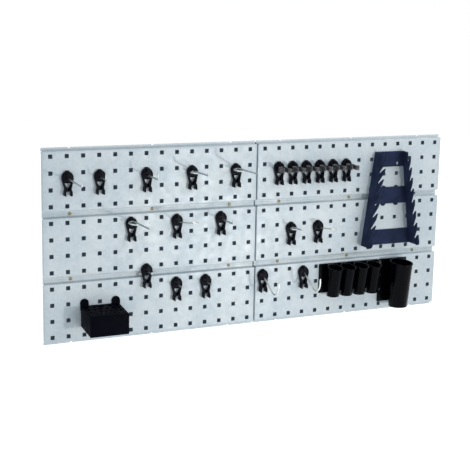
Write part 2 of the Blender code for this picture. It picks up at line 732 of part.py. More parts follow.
def build_rack():
    mesh = rack_mesh(drop_below(RACK_HOLE))
    mesh.materials.append(material("black_rack_plastic", BLACK_PLASTIC))
    smooth(mesh, 30)
    add_object("wrench_rack", mesh, hole_point(*RACK_HOLE))


# ---------------------------------------------------------------- drill box

def box_mesh(drop):
    """The box, with the hole between its two ears at the origin."""
    back = -GAP
    front = -GAP - BOX_DEPTH
    top = -BOX_BELOW
    bm = bmesh.new()
    side_view = [(back, top), (back, top - BOX_HEIGHT), (front, top - BOX_DROP - BOX_HEIGHT),
                 (front, top - BOX_DROP)]
    slab(bm, side_view, BOX_WIDTH, lambda y, z, x: (x - BOX_WIDTH / 2, y, z))
    body = finish_mesh(bm, "box_body")

    ears = bmesh.new()
    pegs = bmesh.new()
    for side in (-1, 1):
        outline = arc((side * PITCH, 0.0), BOX_EAR_RADIUS, 180.0, 0.0, 8)
        outline += [(side * PITCH + BOX_EAR_RADIUS, top - BOX_EAR_ROOT),
                    (side * PITCH - BOX_EAR_RADIUS, top - BOX_EAR_ROOT)]
        slab(ears, outline, BOX_EAR, lambda x, z, deep: (x, back - deep, z))
        for z in (0.0, -drop):
            lug(pegs, side * PITCH, z)
    holes = bmesh.new()
    tilt = Vector((0.0, BOX_DROP / BOX_DEPTH, 1.0)).normalized()
    for number, (count, diameter) in enumerate(BOX_HOLES):
        share = (number + 0.5) / len(BOX_HOLES)
        y = back - BOX_MARGIN / 2 - share * (BOX_DEPTH - BOX_MARGIN)
        z = top + BOX_DROP * (y - back) / BOX_DEPTH
        span = BOX_WIDTH - 2 * BOX_MARGIN
        for i in range(count):
            x = -span / 2 + span * i / (count - 1)
            add_rod(holes, (x, y, z), tilt, diameter / 2, 2 * BOX_HOLE_DEPTH, sides=8)
    changes = [("UNION", finish_mesh(ears, "box_ears")), ("UNION", finish_mesh(pegs, "box_lugs")),
               ("DIFFERENCE", finish_mesh(holes, "box_holes"))]
    return carve(body, changes, "drill_box")


def build_box():
    mesh = box_mesh(drop_below(BOX_HOLE))
    mesh.materials.append(material("black_box_plastic", BLACK_PLASTIC))
    smooth(mesh, 30)
    add_object("drill_box", mesh, hole_point(*BOX_HOLE))


# ---------------------------------------------------------------- cups

LEDGE_BACK = -GAP - CUP_PLATE
LEDGE_SLOT = HANGER_STRIP + 2 * GAP
LEDGE_LIP = LEDGE_BACK - LEDGE_SLOT
LEDGE_FRONT = LEDGE_LIP - HANGER_STRIP
CUP_BACK = LEDGE_FRONT - GAP


def rim_height():
    """The cups' rims, above the upper hole row."""
    return CUP_PLATE_TOP - CUP_RIM_DROP


def plate_mesh(left, right, height, centres, holes, lugs, name):
    """A plate against the board with a turned-up ledge for each cup."""
    top = CUP_PLATE_TOP
    ledge_top = rim_height() - CUP_WALL - GAP
    ledge_low = ledge_top - HANGER_DEEP
    bm = bmesh.new()
    add_block(bm, (left, -GAP - CUP_PLATE, top - height), (right, -GAP, top))
    plate = finish_mesh(bm, name + "_plate")
    ledges = bmesh.new()
    pegs = bmesh.new()
    openings = bmesh.new()
    for x in centres:
        outline = [
            (LEDGE_BACK + 0.001, ledge_low - HANGER_STRIP), (LEDGE_FRONT, ledge_low - HANGER_STRIP),
            (LEDGE_FRONT, ledge_top), (LEDGE_LIP, ledge_top), (LEDGE_LIP, ledge_low),
            (LEDGE_BACK + 0.001, ledge_low),
        ]
        slab(ledges, outline, HANGER_WIDTH, lambda y, z, deep: (x - HANGER_WIDTH / 2 + deep, y, z))
    for x, z in lugs:
        lug(pegs, x, z)
    changes = [("UNION", finish_mesh(ledges, name + "_ledges")), ("UNION", finish_mesh(pegs, name + "_lugs"))]
    if holes:
        for x, z in holes:
            add_rod(openings, (x, -GAP - CUP_PLATE / 2, z), (0, 1, 0), LARGE_PLATE_HOLE, 4 * CUP_PLATE)
        changes.append(("DIFFERENCE", finish_mesh(openings, name + "_holes")))
    return carve(plate, changes, name)


def cup_mesh(half_width, half_depth, foot_radius, height, slope, name):
    """A tapered oval cup with an upright back, and the hanger that drops into a ledge."""
    top = rim_height()
    low = top - CUP_LIP_HEIGHT
    inner = CUP_LIP + CUP_WALL
    # Each level is (half width, half depth, height, slope, inset of the back), from the foot round.
    levels = [
        (foot_radius, foot_radius, top - height, 0.0, CUP_LIP),
        (half_width - CUP_LIP, half_depth - CUP_LIP, low, slope, CUP_LIP),
        (half_width, half_depth, low, slope, 0.0),
        (half_width, half_depth, top, slope, 0.0),
        (half_width - inner, half_depth - inner, top, slope, inner),
        (foot_radius - CUP_WALL, foot_radius - CUP_WALL, top - height + CUP_FLOOR, 0.0, inner),
    ]
    bm = bmesh.new()
    rings = []
    for across, along, z, fall, inset in levels:
        ring = []
        for i in range(CUP_SIDES):
            angle = 2 * math.pi * i / CUP_SIDES
            forward = along * (1 - math.cos(angle))
            ring.append(bm.verts.new((across * math.sin(angle), CUP_BACK - inset - forward,
                                      z - fall * forward / (2 * along))))
        rings.append(ring)
    for ring, following in zip(rings, rings[1:]):
        for i in range(CUP_SIDES):
            after = (i + 1) % CUP_SIDES
            bm.faces.new((ring[i], ring[after], following[after], following[i]))
    bm.faces.new(rings[0])
    bm.faces.new(rings[-1])
    body = finish_mesh(bm, name + "_body")

    bm = bmesh.new()
    hook_back = LEDGE_BACK - GAP
    hook_front = hook_back - HANGER_STRIP
    inside = CUP_BACK - CUP_WALL
    outline = [
        (inside, top - HANGER_SINK), (hook_back, top - HANGER_SINK), (hook_back, top - HANGER_DEEP),
        (hook_front, top - HANGER_DEEP), (hook_front, top - CUP_WALL), (inside, top - CUP_WALL),
    ]
    slab(bm, outline, HANGER_WIDTH, lambda y, z, deep: (deep - HANGER_WIDTH / 2, y, z))
    return carve(body, [("UNION", finish_mesh(bm, name + "_hanger"))], name)


def build_cups():
    plastic = material("black_cup_plastic", BLACK_PLASTIC)
    first = hole_point(*SMALL_CUP_HOLE)
    drop = drop_below(SMALL_CUP_HOLE)
    centres = [i * SMALL_CUP_SPACING for i in range(SMALL_CUP_COUNT)]
    right = centres[-1] + SMALL_PLATE_MARGIN
    last_column = math.floor(centres[-1] / PITCH + GAP)
    lugs = [(x, z) for x in (0.0, last_column * PITCH) for z in (0.0, -drop)]
    plate = plate_mesh(-SMALL_PLATE_MARGIN, right, SMALL_PLATE_HEIGHT, centres, [], lugs, "small_cup_plate")
    plate.materials.append(plastic)
    smooth(plate, 30)
    add_object("small_cup_plate", plate, first)
    small = cup_mesh(SMALL_CUP_HALF_WIDTH, SMALL_CUP_HALF_DEPTH, SMALL_CUP_FOOT_RADIUS, SMALL_CUP_HEIGHT,
                     SMALL_CUP_SLOPE, "small_cup")
    small.materials.append(plastic)
    smooth(small, 30)
    for i, x in enumerate(centres):
        add_object(f"small_cup_{i + 1}", small, first + Vector((x, 0.0, 0.0)))

    # The large cup hangs in the first column that leaves room beside the small cups' plate.
    columns = math.ceil((right + PLATE_ROOM + LARGE_PLATE_LEFT) / PITCH)
    hole = (SMALL_CUP_HOLE[0] + columns, SMALL_CUP_HOLE[1])
    place = hole_point(*hole)
    side_holes = [(-PITCH, -down * PITCH) for down in (1, 2)]
    lugs = [(0.0, 0.0), (0.0, -drop), (0.0, -2 * drop)]
    plate = plate_mesh(-LARGE_PLATE_LEFT, LARGE_PLATE_RIGHT, LARGE_PLATE_HEIGHT, [0.0], side_holes, lugs,
                       "large_cup_plate")
    plate.materials.append(plastic)
    smooth(plate, 30)
    add_object("large_cup_plate", plate, place)
    large = cup_mesh(LARGE_CUP_HALF_WIDTH, LARGE_CUP_HALF_DEPTH, LARGE_CUP_FOOT_RADIUS, LARGE_CUP_HEIGHT,
                     LARGE_CUP_SLOPE, "large_cup")
    large.materials.append(plastic)
    smooth(large, 30)
    add_object("large_cup", large, place)


# ---------------------------------------------------------------- the whole wall

def main():
    for obj in list(bpy.data.objects):
        bpy.data.objects.remove(obj, do_unlink=True)
    build_panels()
    build_clips()
    build_hooks()
    build_clamps()
    build_rack()
    build_box()
    build_cups()


main()
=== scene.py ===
# %% [markdown]
# # A pegboard tool wall
#
# Six folded steel panels hang on a wall in three rows. Plastic clips with wire hooks, spring
# clamps, a wrench rack, a drill box and five cups plug into their square holes. This lesson
# rebuilds the visible surface of each piece around a finished CAD model: the CAD gives every
# place and size, and Blender adds the rounded edges, the wire bends and the finishes.

# %% Load the CAD model
import math

import bmesh
import bpy
from mathutils import Matrix, Vector


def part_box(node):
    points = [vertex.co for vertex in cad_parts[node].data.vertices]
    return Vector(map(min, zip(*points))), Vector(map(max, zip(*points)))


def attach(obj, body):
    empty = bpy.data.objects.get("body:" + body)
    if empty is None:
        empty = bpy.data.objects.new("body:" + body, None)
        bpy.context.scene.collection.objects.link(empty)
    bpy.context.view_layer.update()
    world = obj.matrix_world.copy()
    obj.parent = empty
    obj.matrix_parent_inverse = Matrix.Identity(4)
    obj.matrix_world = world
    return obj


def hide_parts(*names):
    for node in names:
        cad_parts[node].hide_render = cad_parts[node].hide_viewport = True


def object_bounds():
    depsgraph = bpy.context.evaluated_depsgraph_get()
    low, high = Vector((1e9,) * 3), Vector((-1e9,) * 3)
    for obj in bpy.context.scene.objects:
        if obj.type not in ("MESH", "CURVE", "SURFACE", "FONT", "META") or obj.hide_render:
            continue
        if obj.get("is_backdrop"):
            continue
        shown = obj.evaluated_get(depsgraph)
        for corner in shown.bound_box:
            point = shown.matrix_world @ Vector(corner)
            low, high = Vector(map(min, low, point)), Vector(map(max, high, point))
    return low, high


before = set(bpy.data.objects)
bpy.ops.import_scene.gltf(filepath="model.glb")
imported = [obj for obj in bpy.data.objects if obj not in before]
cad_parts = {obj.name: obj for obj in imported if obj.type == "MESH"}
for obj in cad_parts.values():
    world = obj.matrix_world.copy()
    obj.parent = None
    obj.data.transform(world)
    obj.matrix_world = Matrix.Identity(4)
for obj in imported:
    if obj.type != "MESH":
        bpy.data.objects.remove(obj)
cad_low, cad_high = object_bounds()
print("CAD box", [round(c, 4) for c in cad_low], [round(c, 4) for c in cad_high])


def add_object(name, data):
    """Makes an object from its data and links it to the scene."""
    made = bpy.data.objects.new(name, data)
    bpy.context.scene.collection.objects.link(made)
    return made


def middle_x(node):
    """The middle of a CAD piece's box, from left to right."""
    low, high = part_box(node)
    return (low.x + high.x) / 2


# %% [markdown]
# ## The camera
#
# The board is seen from the left and a little above, through a long lens. Three axes are
# enough to aim a camera: right, up and back. They fill the columns of its matrix, which is
# easier to check than a set of turned angles.

# %% Aim the camera
CAMERA_PLACE = Vector((-1.204, -2.437, 0.530))
CAMERA_RIGHT = Vector((0.90500, -0.42502, 0.01838))
CAMERA_UP = Vector((0.06612, 0.18322, 0.98084))
CAMERA_FORWARD = Vector((0.42025, 0.88645, -0.19391))
LENS = 86.27
SENSOR_WIDTH = 36.0
NEAREST, FARTHEST = 0.05, 40.0
SHIFT_RIGHT, SHIFT_UP = -0.0013, 0.0010

camera_data = bpy.data.cameras.new("camera")
camera_data.lens = LENS
camera_data.sensor_width = SENSOR_WIDTH
camera_data.clip_start, camera_data.clip_end = NEAREST, FARTHEST
camera_data.shift_x, camera_data.shift_y = SHIFT_RIGHT, SHIFT_UP
camera = add_object("camera", camera_data)
axes = Matrix((CAMERA_RIGHT, CAMERA_UP, -CAMERA_FORWARD)).transposed()
camera.matrix_world = Matrix.Translation(CAMERA_PLACE) @ axes.to_4x4()
bpy.context.scene.camera = camera
print("camera", [round(c, 3) for c in camera.location])

# %% [markdown]
# ## Light, floor and background
#
# Metal and black plastic show what stands around them. A small key lamp, low on the right,
# casts the shadows up and to the left. A large warm lamp on the left opens them, and a third
# lifts the top right corner. The world is plain white where it is seen or mirrored, and a dim
# blue where it lights the board, so the background stays clean and the shadows turn bluish.
# The floor glows only where it is seen, for the same reason.

# %% Lights, world and floor
def softbox(name, place, target, size, power, colour):
    """A square area light aimed at a point."""
    data = bpy.data.lights.new(name, "AREA")
    data.shape = "RECTANGLE"
    data.size, data.size_y = size
    data.energy = power
    data.color = colour
    lamp = add_object(name, data)
    aim = (Vector(target) - Vector(place)).to_track_quat("-Z", "Y")
    lamp.matrix_world = Matrix.Translation(place) @ aim.to_matrix().to_4x4()


def set_values(node, values):
    """Writes constants on a node's own inputs."""
    for name, value in values.items():
        node.inputs[name].default_value = value


def either(tree, one, other):
    """The larger of two numbers, so 1 when one of two conditions holds."""
    node = tree.nodes.new("ShaderNodeMath")
    node.operation = "MAXIMUM"
    tree.links.new(one, node.inputs[0])
    tree.links.new(other, node.inputs[1])
    return node.outputs[0]


def seen(tree):
    """1 for rays from the camera and through mirrors or glass, 0 for rays that light the rest."""
    ray = tree.nodes.new("ShaderNodeLightPath").outputs
    direct = either(tree, ray["Is Camera Ray"], ray["Is Glossy Ray"])
    return either(tree, direct, ray["Is Transmission Ray"])


def choose(tree, factor, first, second, output):
    """Shows the first shader where the factor is 0 and the second where it is 1."""
    mix = tree.nodes.new("ShaderNodeMixShader")
    for source, socket in zip((factor, first.outputs[0], second.outputs[0]), mix.inputs):
        tree.links.new(source, socket)
    tree.links.new(mix.outputs[0], tree.nodes[output].inputs["Surface"])


WHITE = (1.0, 1.0, 1.0, 1.0)
world = bpy.data.worlds.new("studio")
bpy.context.scene.world = world
world.use_nodes = True
dim = world.node_tree.nodes["Background"]
set_values(dim, {"Color": (0.70, 0.87, 1.0, 1.0), "Strength": 0.46})
white = world.node_tree.nodes.new("ShaderNodeBackground")
set_values(white, {"Color": WHITE, "Strength": 1.0})
choose(world.node_tree, seen(world.node_tree), dim, white, "World Output")

KEY_POWER = 10.5
FILL_POWER = 9.0
TOP_POWER = 8.5
softbox("key", (0.95, -2.45, -0.45), (0.1, 0.0, 0.0), (0.12, 0.12), KEY_POWER, (1.0, 0.98, 0.95))
softbox("fill", (-2.1, -1.6, -0.3), (-0.3, 0.0, -0.1), (1.2, 1.2), FILL_POWER, (1.0, 0.95, 0.88))
softbox("right top", (1.3, -1.0, 1.1), (0.35, 0.0, 0.15), (0.9, 0.9), TOP_POWER, (1.0, 0.99, 0.97))

FLOOR_LEVEL = -0.95
FLOOR_HALF = 9.0
bm = bmesh.new()
bmesh.ops.create_grid(bm, x_segments=1, y_segments=1, size=FLOOR_HALF,
                      matrix=Matrix.Translation((0.0, 0.0, FLOOR_LEVEL)))
floor_mesh = bpy.data.meshes.new("floor")
bm.to_mesh(floor_mesh)
bm.free()
floor = add_object("floor", floor_mesh)
floor_finish = bpy.data.materials.new("pale_floor")
floor_finish.use_nodes = True
tree = floor_finish.node_tree
matt = tree.nodes["Principled BSDF"]
set_values(matt, {"Base Color": (0.80, 0.80, 0.80, 1.0), "Roughness": 0.9})
glow = tree.nodes.new("ShaderNodeEmission")
set_values(glow, {"Color": WHITE, "Strength": 0.90})
lit = tree.nodes.new("ShaderNodeAddShader")
tree.links.new(matt.outputs[0], lit.inputs[0])
tree.links.new(glow.outputs[0], lit.inputs[1])
choose(tree, seen(tree), matt, lit, "Material Output")
floor_mesh.materials.append(floor_finish)
floor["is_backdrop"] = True
bpy.context.scene.view_settings.view_transform = "Standard"
print("lights", KEY_POWER, FILL_POWER, TOP_POWER)

# %% [markdown]
# The wall shows only through the square holes, where it lies in the board's shadow. One
# plane behind the board stands for it, and its dark grey is painted shade. Its back can be
# looked through, and it lets the light that bounces about pass, so that the folded backs of the panels are
# lit and can be seen too.

# %% The wall behind the holes
WALL_INSET = 0.004
WALL_BEHIND = 0.001
wall_size = cad_high - cad_low
bm = bmesh.new()
bmesh.ops.create_grid(bm, x_segments=1, y_segments=1, size=0.5)
bmesh.ops.scale(bm, vec=(wall_size.x - 2 * WALL_INSET, wall_size.z - 2 * WALL_INSET, 1.0),
                verts=bm.verts)
bmesh.ops.rotate(bm, cent=(0, 0, 0), matrix=Matrix.Rotation(math.pi / 2, 3, "X"), verts=bm.verts)
bmesh.ops.translate(bm, vec=(0.0, WALL_BEHIND, 0.0), verts=bm.verts)
wall_mesh = bpy.data.meshes.new("wall")
bm.to_mesh(wall_mesh)
bm.free()
wall = add_object("wall", wall_mesh)
wall_finish = bpy.data.materials.new("wall_painted_shade")
wall_finish.use_nodes = True
tree = wall_finish.node_tree
painted_shade = tree.nodes["Principled BSDF"]
# The dark grey is painted shade: the board's shadow on the wall behind the holes.
set_values(painted_shade, {"Base Color": (0.16, 0.18, 0.21, 1.0), "Roughness": 0.9, "Specular IOR Level": 0.0})
clear = tree.nodes.new("ShaderNodeBsdfTransparent")
behind = tree.nodes.new("ShaderNodeNewGeometry").outputs["Backfacing"]
bounced = tree.nodes.new("ShaderNodeLightPath").outputs["Is Diffuse Ray"]
choose(tree, either(tree, behind, bounced), painted_shade, clear, "Material Output")
wall_mesh.materials.append(wall_finish)
wall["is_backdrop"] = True
print("wall faces", [tuple(round(c, 2) for c in p.normal) for p in wall_mesh.polygons])

# %% [markdown]
# ## Finishes
#
# Every finish is a Principled shader with its colour, roughness and bump driven by noise in
# Object coordinates, and the sheet's colour by small cells as well, like the crystals in
# zinc. All pieces keep their origin at the board's own origin, so one pattern runs on from
# piece to piece at its real scale.

# %% Helpers for finishes
def new_finish(name, roughness, metallic, specular):
    finish = bpy.data.materials.new(name)
    finish.use_nodes = True
    shader = finish.node_tree.nodes["Principled BSDF"]
    set_values(shader, {"Roughness": roughness, "Metallic": metallic, "Specular IOR Level": specular})
    return finish, finish.node_tree, shader


def object_space(tree, stretch=(1.0, 1.0, 1.0)):
    """The piece's own coordinates in metres, stretched along the axes if asked."""
    source = tree.nodes.new("ShaderNodeTexCoord")
    mapping = tree.nodes.new("ShaderNodeMapping")
    set_values(mapping, {"Scale": stretch})
    tree.links.new(source.outputs["Object"], mapping.inputs["Vector"])
    return mapping.outputs["Vector"]


def noise(tree, where, scale, detail=3.0):
    texture = tree.nodes.new("ShaderNodeTexNoise")
    set_values(texture, {"Scale": scale, "Detail": detail})
    tree.links.new(where, texture.inputs["Vector"])
    return texture.outputs["Fac"]


def spread(tree, value, low, high):
    """Maps the middle of a noise to a range of numbers."""
    remap = tree.nodes.new("ShaderNodeMapRange")
    set_values(remap, {"From Min": 0.3, "From Max": 0.7, "To Min": low, "To Max": high})
    tree.links.new(value, remap.inputs["Value"])
    return remap.outputs["Result"]


def blend_colours(tree, value, stops):
    """A colour ramp driven by a value."""
    ramp = tree.nodes.new("ShaderNodeValToRGB")
    while len(ramp.color_ramp.elements) < len(stops):
        ramp.color_ramp.elements.new(0.5)
    for element, (position, colour) in zip(ramp.color_ramp.elements, stops):
        element.position = position
        element.color = (*colour, 1.0)
    tree.links.new(value, ramp.inputs["Fac"])
    return ramp.outputs["Color"]


def bump(tree, shader, height, strength, distance):
    node = tree.nodes.new("ShaderNodeBump")
    set_values(node, {"Strength": strength, "Distance": distance})
    tree.links.new(height, node.inputs["Height"])
    tree.links.new(node.outputs["Normal"], shader.inputs["Normal"])


# %% Galvanised sheet
def galvanised_finish():
    finish, tree, shader = new_finish("galvanised_sheet_finish", 0.42, 0.20, 0.4)
    where = object_space(tree)
    spangle = tree.nodes.new("ShaderNodeTexVoronoi")
    set_values(spangle, {"Scale": 190.0, "Randomness": 1.0})
    tree.links.new(where, spangle.inputs["Vector"])
    cell = tree.nodes.new("ShaderNodeSeparateColor")
    tree.links.new(spangle.outputs["Color"], cell.inputs["Color"])
    cloud = noise(tree, where, 9.0)
    mix = tree.nodes.new("ShaderNodeMath")
    mix.operation = "MULTIPLY_ADD"
    mix.inputs[1].default_value = 0.22
    tree.links.new(cell.outputs["Red"], mix.inputs[0])
    tree.links.new(cloud, mix.inputs[2])
    tint = blend_colours(tree, mix.outputs[0], [
        (0.38, (0.560, 0.625, 0.665)), (0.60, (0.625, 0.680, 0.705)), (0.85, (0.690, 0.730, 0.745))])
    tree.links.new(tint, shader.inputs["Base Color"])
    rough = noise(tree, where, 60.0)
    tree.links.new(spread(tree, rough, 0.36, 0.50), shader.inputs["Roughness"])
    bump(tree, shader, noise(tree, where, 700.0), 0.12, 0.0002)
    return finish


# %% [markdown]
# ### Black mouldings
#
# Moulded plastic is never quite even: the tool leaves a fine grain, and handling polishes some
# places. The rack is matt and bluish, the clips and the box are blacker, and the cups are the
# glossiest.

# %% Black plastics
def plastic_finish(name, colour, roughness, specular, grain):
    finish, tree, shader = new_finish(name, roughness, 0.0, specular)
    where = object_space(tree)
    cloud = noise(tree, where, 35.0)
    tint = blend_colours(tree, cloud, [(0.35, tuple(c * 0.8 for c in colour)),
                                       (0.65, tuple(c * 1.25 for c in colour))])
    tree.links.new(tint, shader.inputs["Base Color"])
    rub = noise(tree, where, 140.0, 5.0)
    tree.links.new(spread(tree, rub, roughness - 0.06, roughness + 0.08), shader.inputs["Roughness"])
    bump(tree, shader, noise(tree, where, 1500.0), grain, 0.0001)
    return finish


# %% Wire, spring steel and screws
def metal_finish(name, colour, roughness, streak):
    finish, tree, shader = new_finish(name, roughness, 1.0, 0.5)
    where = object_space(tree, streak)
    drawn = noise(tree, where, 900.0, 4.0)
    tint = blend_colours(tree, drawn, [(0.35, tuple(c * 0.86 for c in colour)),
                                       (0.65, tuple(min(1.0, c * 1.10) for c in colour))])
    tree.links.new(tint, shader.inputs["Base Color"])
    tree.links.new(spread(tree, drawn, roughness - 0.05, roughness + 0.09), shader.inputs["Roughness"])
    bump(tree, shader, drawn, 0.1, 0.0001)
    return finish


finishes = {
    "sheet": galvanised_finish(),
    "clip": plastic_finish("black_clip_finish", (0.0020, 0.0024, 0.0065), 0.34, 0.08, 0.15),
    "rack": plastic_finish("black_rack_finish", (0.0260, 0.0360, 0.0780), 0.60, 0.05, 0.30),
    "box": plastic_finish("black_box_finish", (0.0015, 0.0018, 0.0050), 0.50, 0.03, 0.30),
    "cup": plastic_finish("black_cup_finish", (0.0008, 0.0009, 0.0022), 0.25, 0.06, 0.08),
    "wire": metal_finish("zinc_wire_finish", (0.50, 0.54, 0.55), 0.30, (1.0, 1.0, 1.0)),
    "bright": metal_finish("bright_wire_finish", (0.70, 0.71, 0.69), 0.26, (1.0, 1.0, 1.0)),
    "spring": metal_finish("spring_steel_finish", (0.16, 0.16, 0.17), 0.34, (1.0, 1.0, 0.2)),
    "screw": metal_finish("yellow_zinc_finish", (0.30, 0.24, 0.12), 0.34, (1.0, 1.0, 1.0)),
}
print("finishes", sorted(finishes))

# %% [markdown]
# ## Building blocks
#
# A bmesh is Blender's editable mesh. The same few moves make every piece here: draw an
# outline, round its corners, pull it out into a slab, round its edges, and join closed shapes
# with a Boolean.

# %% Helpers for shapes
SAME_PLACE = 1e-6
WELD = 2e-6


def to_mesh(bm, name):
    bmesh.ops.recalc_face_normals(bm, faces=bm.faces)
    mesh = bpy.data.meshes.new(name)
    bm.to_mesh(mesh)
    bm.free()
    return mesh


def of_type(made, kind):
    return [item for item in made["geom"] if isinstance(item, kind)]


def outline_face(bm, points, roundings=()):
    """A flat face through the points, with some corners rounded: (indices, radius)."""
    verts = [bm.verts.new(point) for point in points]
    bm.faces.new(verts)
    for indices, radius in roundings:
        corners = [verts[i] for i in indices]
        bmesh.ops.bevel(bm, geom=corners, offset=radius, offset_type="OFFSET", segments=4,
                        profile=0.5, affect="VERTICES", material=-1, clamp_overlap=True)
    bm.faces.ensure_lookup_table()
    return bm.faces[0]


def pull_out(bm, face, along):
    """Extrudes a face along a vector."""
    made = bmesh.ops.extrude_face_region(bm, geom=[face])
    bmesh.ops.translate(bm, vec=Vector(along), verts=of_type(made, bmesh.types.BMVert))


def slab(points, along, roundings=()):
    """An outline pulled out along a vector, with its faces turned outwards."""
    bm = bmesh.new()
    pull_out(bm, outline_face(bm, points, roundings), along)
    bmesh.ops.recalc_face_normals(bm, faces=bm.faces)
    return bm


def extrude_chain(bm, edges):
    """Extrudes a chain of edges, and returns its new vertices and its new edges."""
    made = bmesh.ops.extrude_edge_only(bm, edges=edges)
    verts = of_type(made, bmesh.types.BMVert)
    ring = set(verts)
    return verts, [e for e in of_type(made, bmesh.types.BMEdge) if ring.issuperset(e.verts)]


def sharp_edges(bm, angle, suits):
    """The edges that turn by more than an angle and whose two ends suit a test."""
    return [e for e in bm.edges
            if e.calc_face_angle(0.0) > angle and suits(e.verts[0].co, e.verts[1].co)]


def round_edges(bm, edges, radius, segments=3):
    bmesh.ops.bevel(bm, geom=list(edges), offset=radius, offset_type="OFFSET", segments=segments,
                    profile=0.5, affect="EDGES", material=-1, clamp_overlap=True)


def box_shape(low, high, radius=0.0, segments=3):
    """A block between two corners, with all its edges rounded when a radius is given."""
    low, high = Vector(low), Vector(high)
    bm = bmesh.new()
    bmesh.ops.create_cube(bm, size=1.0)
    bmesh.ops.scale(bm, vec=high - low, verts=bm.verts)
    bmesh.ops.translate(bm, vec=(low + high) / 2, verts=bm.verts)
    if radius:
        round_edges(bm, bm.edges, radius, segments)
    return bm


def bore(bm, place, turn, radius, depth, sides):
    """Adds a closed cylinder that stands upright before it is turned about X."""
    bmesh.ops.create_cone(bm, cap_ends=True, segments=sides, radius1=radius, radius2=radius,
                          depth=depth, matrix=Matrix.Translation(place) @ Matrix.Rotation(turn, 4, "X"))
    return bm


def turned(profile, centre, steps):
    """A solid turned about a line towards the viewer: profile points are (radius, forward)."""
    axis = Vector((0.0, -1.0, 0.0))
    across = axis.orthogonal().normalized()
    bm = bmesh.new()
    ring = [bm.verts.new(Vector(centre) + across * r + axis * along) for r, along in profile]
    edges = [bm.edges.new(pair) for pair in zip(ring, ring[1:])]
    bmesh.ops.spin(bm, geom=edges, cent=centre, axis=axis, angle=2 * math.pi, steps=steps,
                   use_merge=True)
    bmesh.ops.remove_doubles(bm, verts=bm.verts, dist=SAME_PLACE)
    return bm


def combine(name, base, changes):
    """Joins or cuts closed shapes with exact Booleans: changes are (operation, bmesh)."""
    body = add_object(name + "_base", to_mesh(base, name + "_base"))
    helpers = [body]
    for operation, shape in changes:
        helper = add_object(name + "_part", to_mesh(shape, name + "_part"))
        modifier = body.modifiers.new(operation, "BOOLEAN")
        modifier.operation = operation
        modifier.solver = "EXACT"
        modifier.object = helper
        helpers.append(helper)
    graph = bpy.context.evaluated_depsgraph_get()
    mesh = bpy.data.meshes.new_from_object(body.evaluated_get(graph))
    mesh.name = name
    for helper in helpers:
        bpy.data.objects.remove(helper)
    bm = bmesh.new()
    bm.from_mesh(mesh)
    bmesh.ops.remove_doubles(bm, verts=bm.verts, dist=WELD)
    bmesh.ops.dissolve_degenerate(bm, edges=bm.edges, dist=WELD)
    bm.to_mesh(mesh)
    bm.free()
    return mesh


def put(name, mesh, finish, body, node=None, offset=(0.0, 0.0, 0.0), angle=32):
    """Places a finished piece: moves its mesh, gives it a finish, and lets it ride on a body."""
    mesh = mesh.copy()
    mesh.name = name
    mesh.transform(Matrix.Translation(offset))
    mesh.materials.clear()
    mesh.materials.append(finish)
    mesh.shade_smooth()
    mesh.set_sharp_from_angle(angle=math.radians(angle))
    piece = add_object(name, mesh)
    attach(piece, body)
    if node:
        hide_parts(node)


# %% [markdown]
# ## The panels
#
# Each panel is one sheet, punched with four rows of square holes and folded back on all four
# sides. The long sides fold out again into a flat lip that lies on the wall and takes the
# screws. A grid whose lines run along the hole edges makes the punching simple: the squares
# in the holes are deleted, and the rim is pulled out fold by fold.

# %% Panel sizes
SHEET = 0.001
PITCH = 0.038
HOLE = 0.0098
COLUMNS = 14
ROWS = 4
LIP = 0.007
FOLD = 0.0018
LIP_FOLD = 0.0010
FOLD_STEPS = 5
NOTCH = 0.003
NOTCH_STEPS = 6
SCREW_SPACING = 0.200
HOLE_CORNER = 0.0009
SIDES = {"top": (0, 0, 1), "bottom": (0, 0, -1), "right": (1, 0, 0), "left": (-1, 0, 0)}
panel_low, panel_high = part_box("panel_middle_left")
panel_size = panel_high - panel_low
FACE_HALF_WIDTH = panel_size.x / 2
FACE_HALF_HEIGHT = panel_size.z / 2 - LIP
DEPTH = panel_size.y
print("panel", [round(s, 4) for s in panel_size])

# %% Build one panel
def grid_lines(count, half, notches=()):
    lines = {-half, half}
    for i in range(count):
        middle = (i - (count - 1) / 2) * PITCH
        lines |= {middle - HOLE / 2, middle + HOLE / 2}
    for centre in notches:
        for step in range(NOTCH_STEPS + 1):
            lines.add(centre - NOTCH * math.cos(math.pi * step / NOTCH_STEPS))
    return sorted(lines)


def fold_profile(outer_end):
    """A folded side as (outward, back, wider): round the edge, back, and out along the wall."""
    steps = []
    for i in range(1, FOLD_STEPS + 1):
        turn = math.pi / 2 * i / FOLD_STEPS
        steps.append((FOLD * math.sin(turn), FOLD * (1 - math.cos(turn)), 0.0))
    back = DEPTH - SHEET
    if outer_end is None:
        return steps + [(FOLD, back, 0.0)]
    steps.append((FOLD, back - LIP_FOLD, 0.0))
    for i in range(1, FOLD_STEPS + 1):
        turn = math.pi / 2 * i / FOLD_STEPS
        steps.append((FOLD + LIP_FOLD * (1 - math.cos(turn)), back - LIP_FOLD * (1 - math.sin(turn)),
                      FOLD * i / FOLD_STEPS))
    return steps + [(FOLD + outer_end, back, FOLD)]


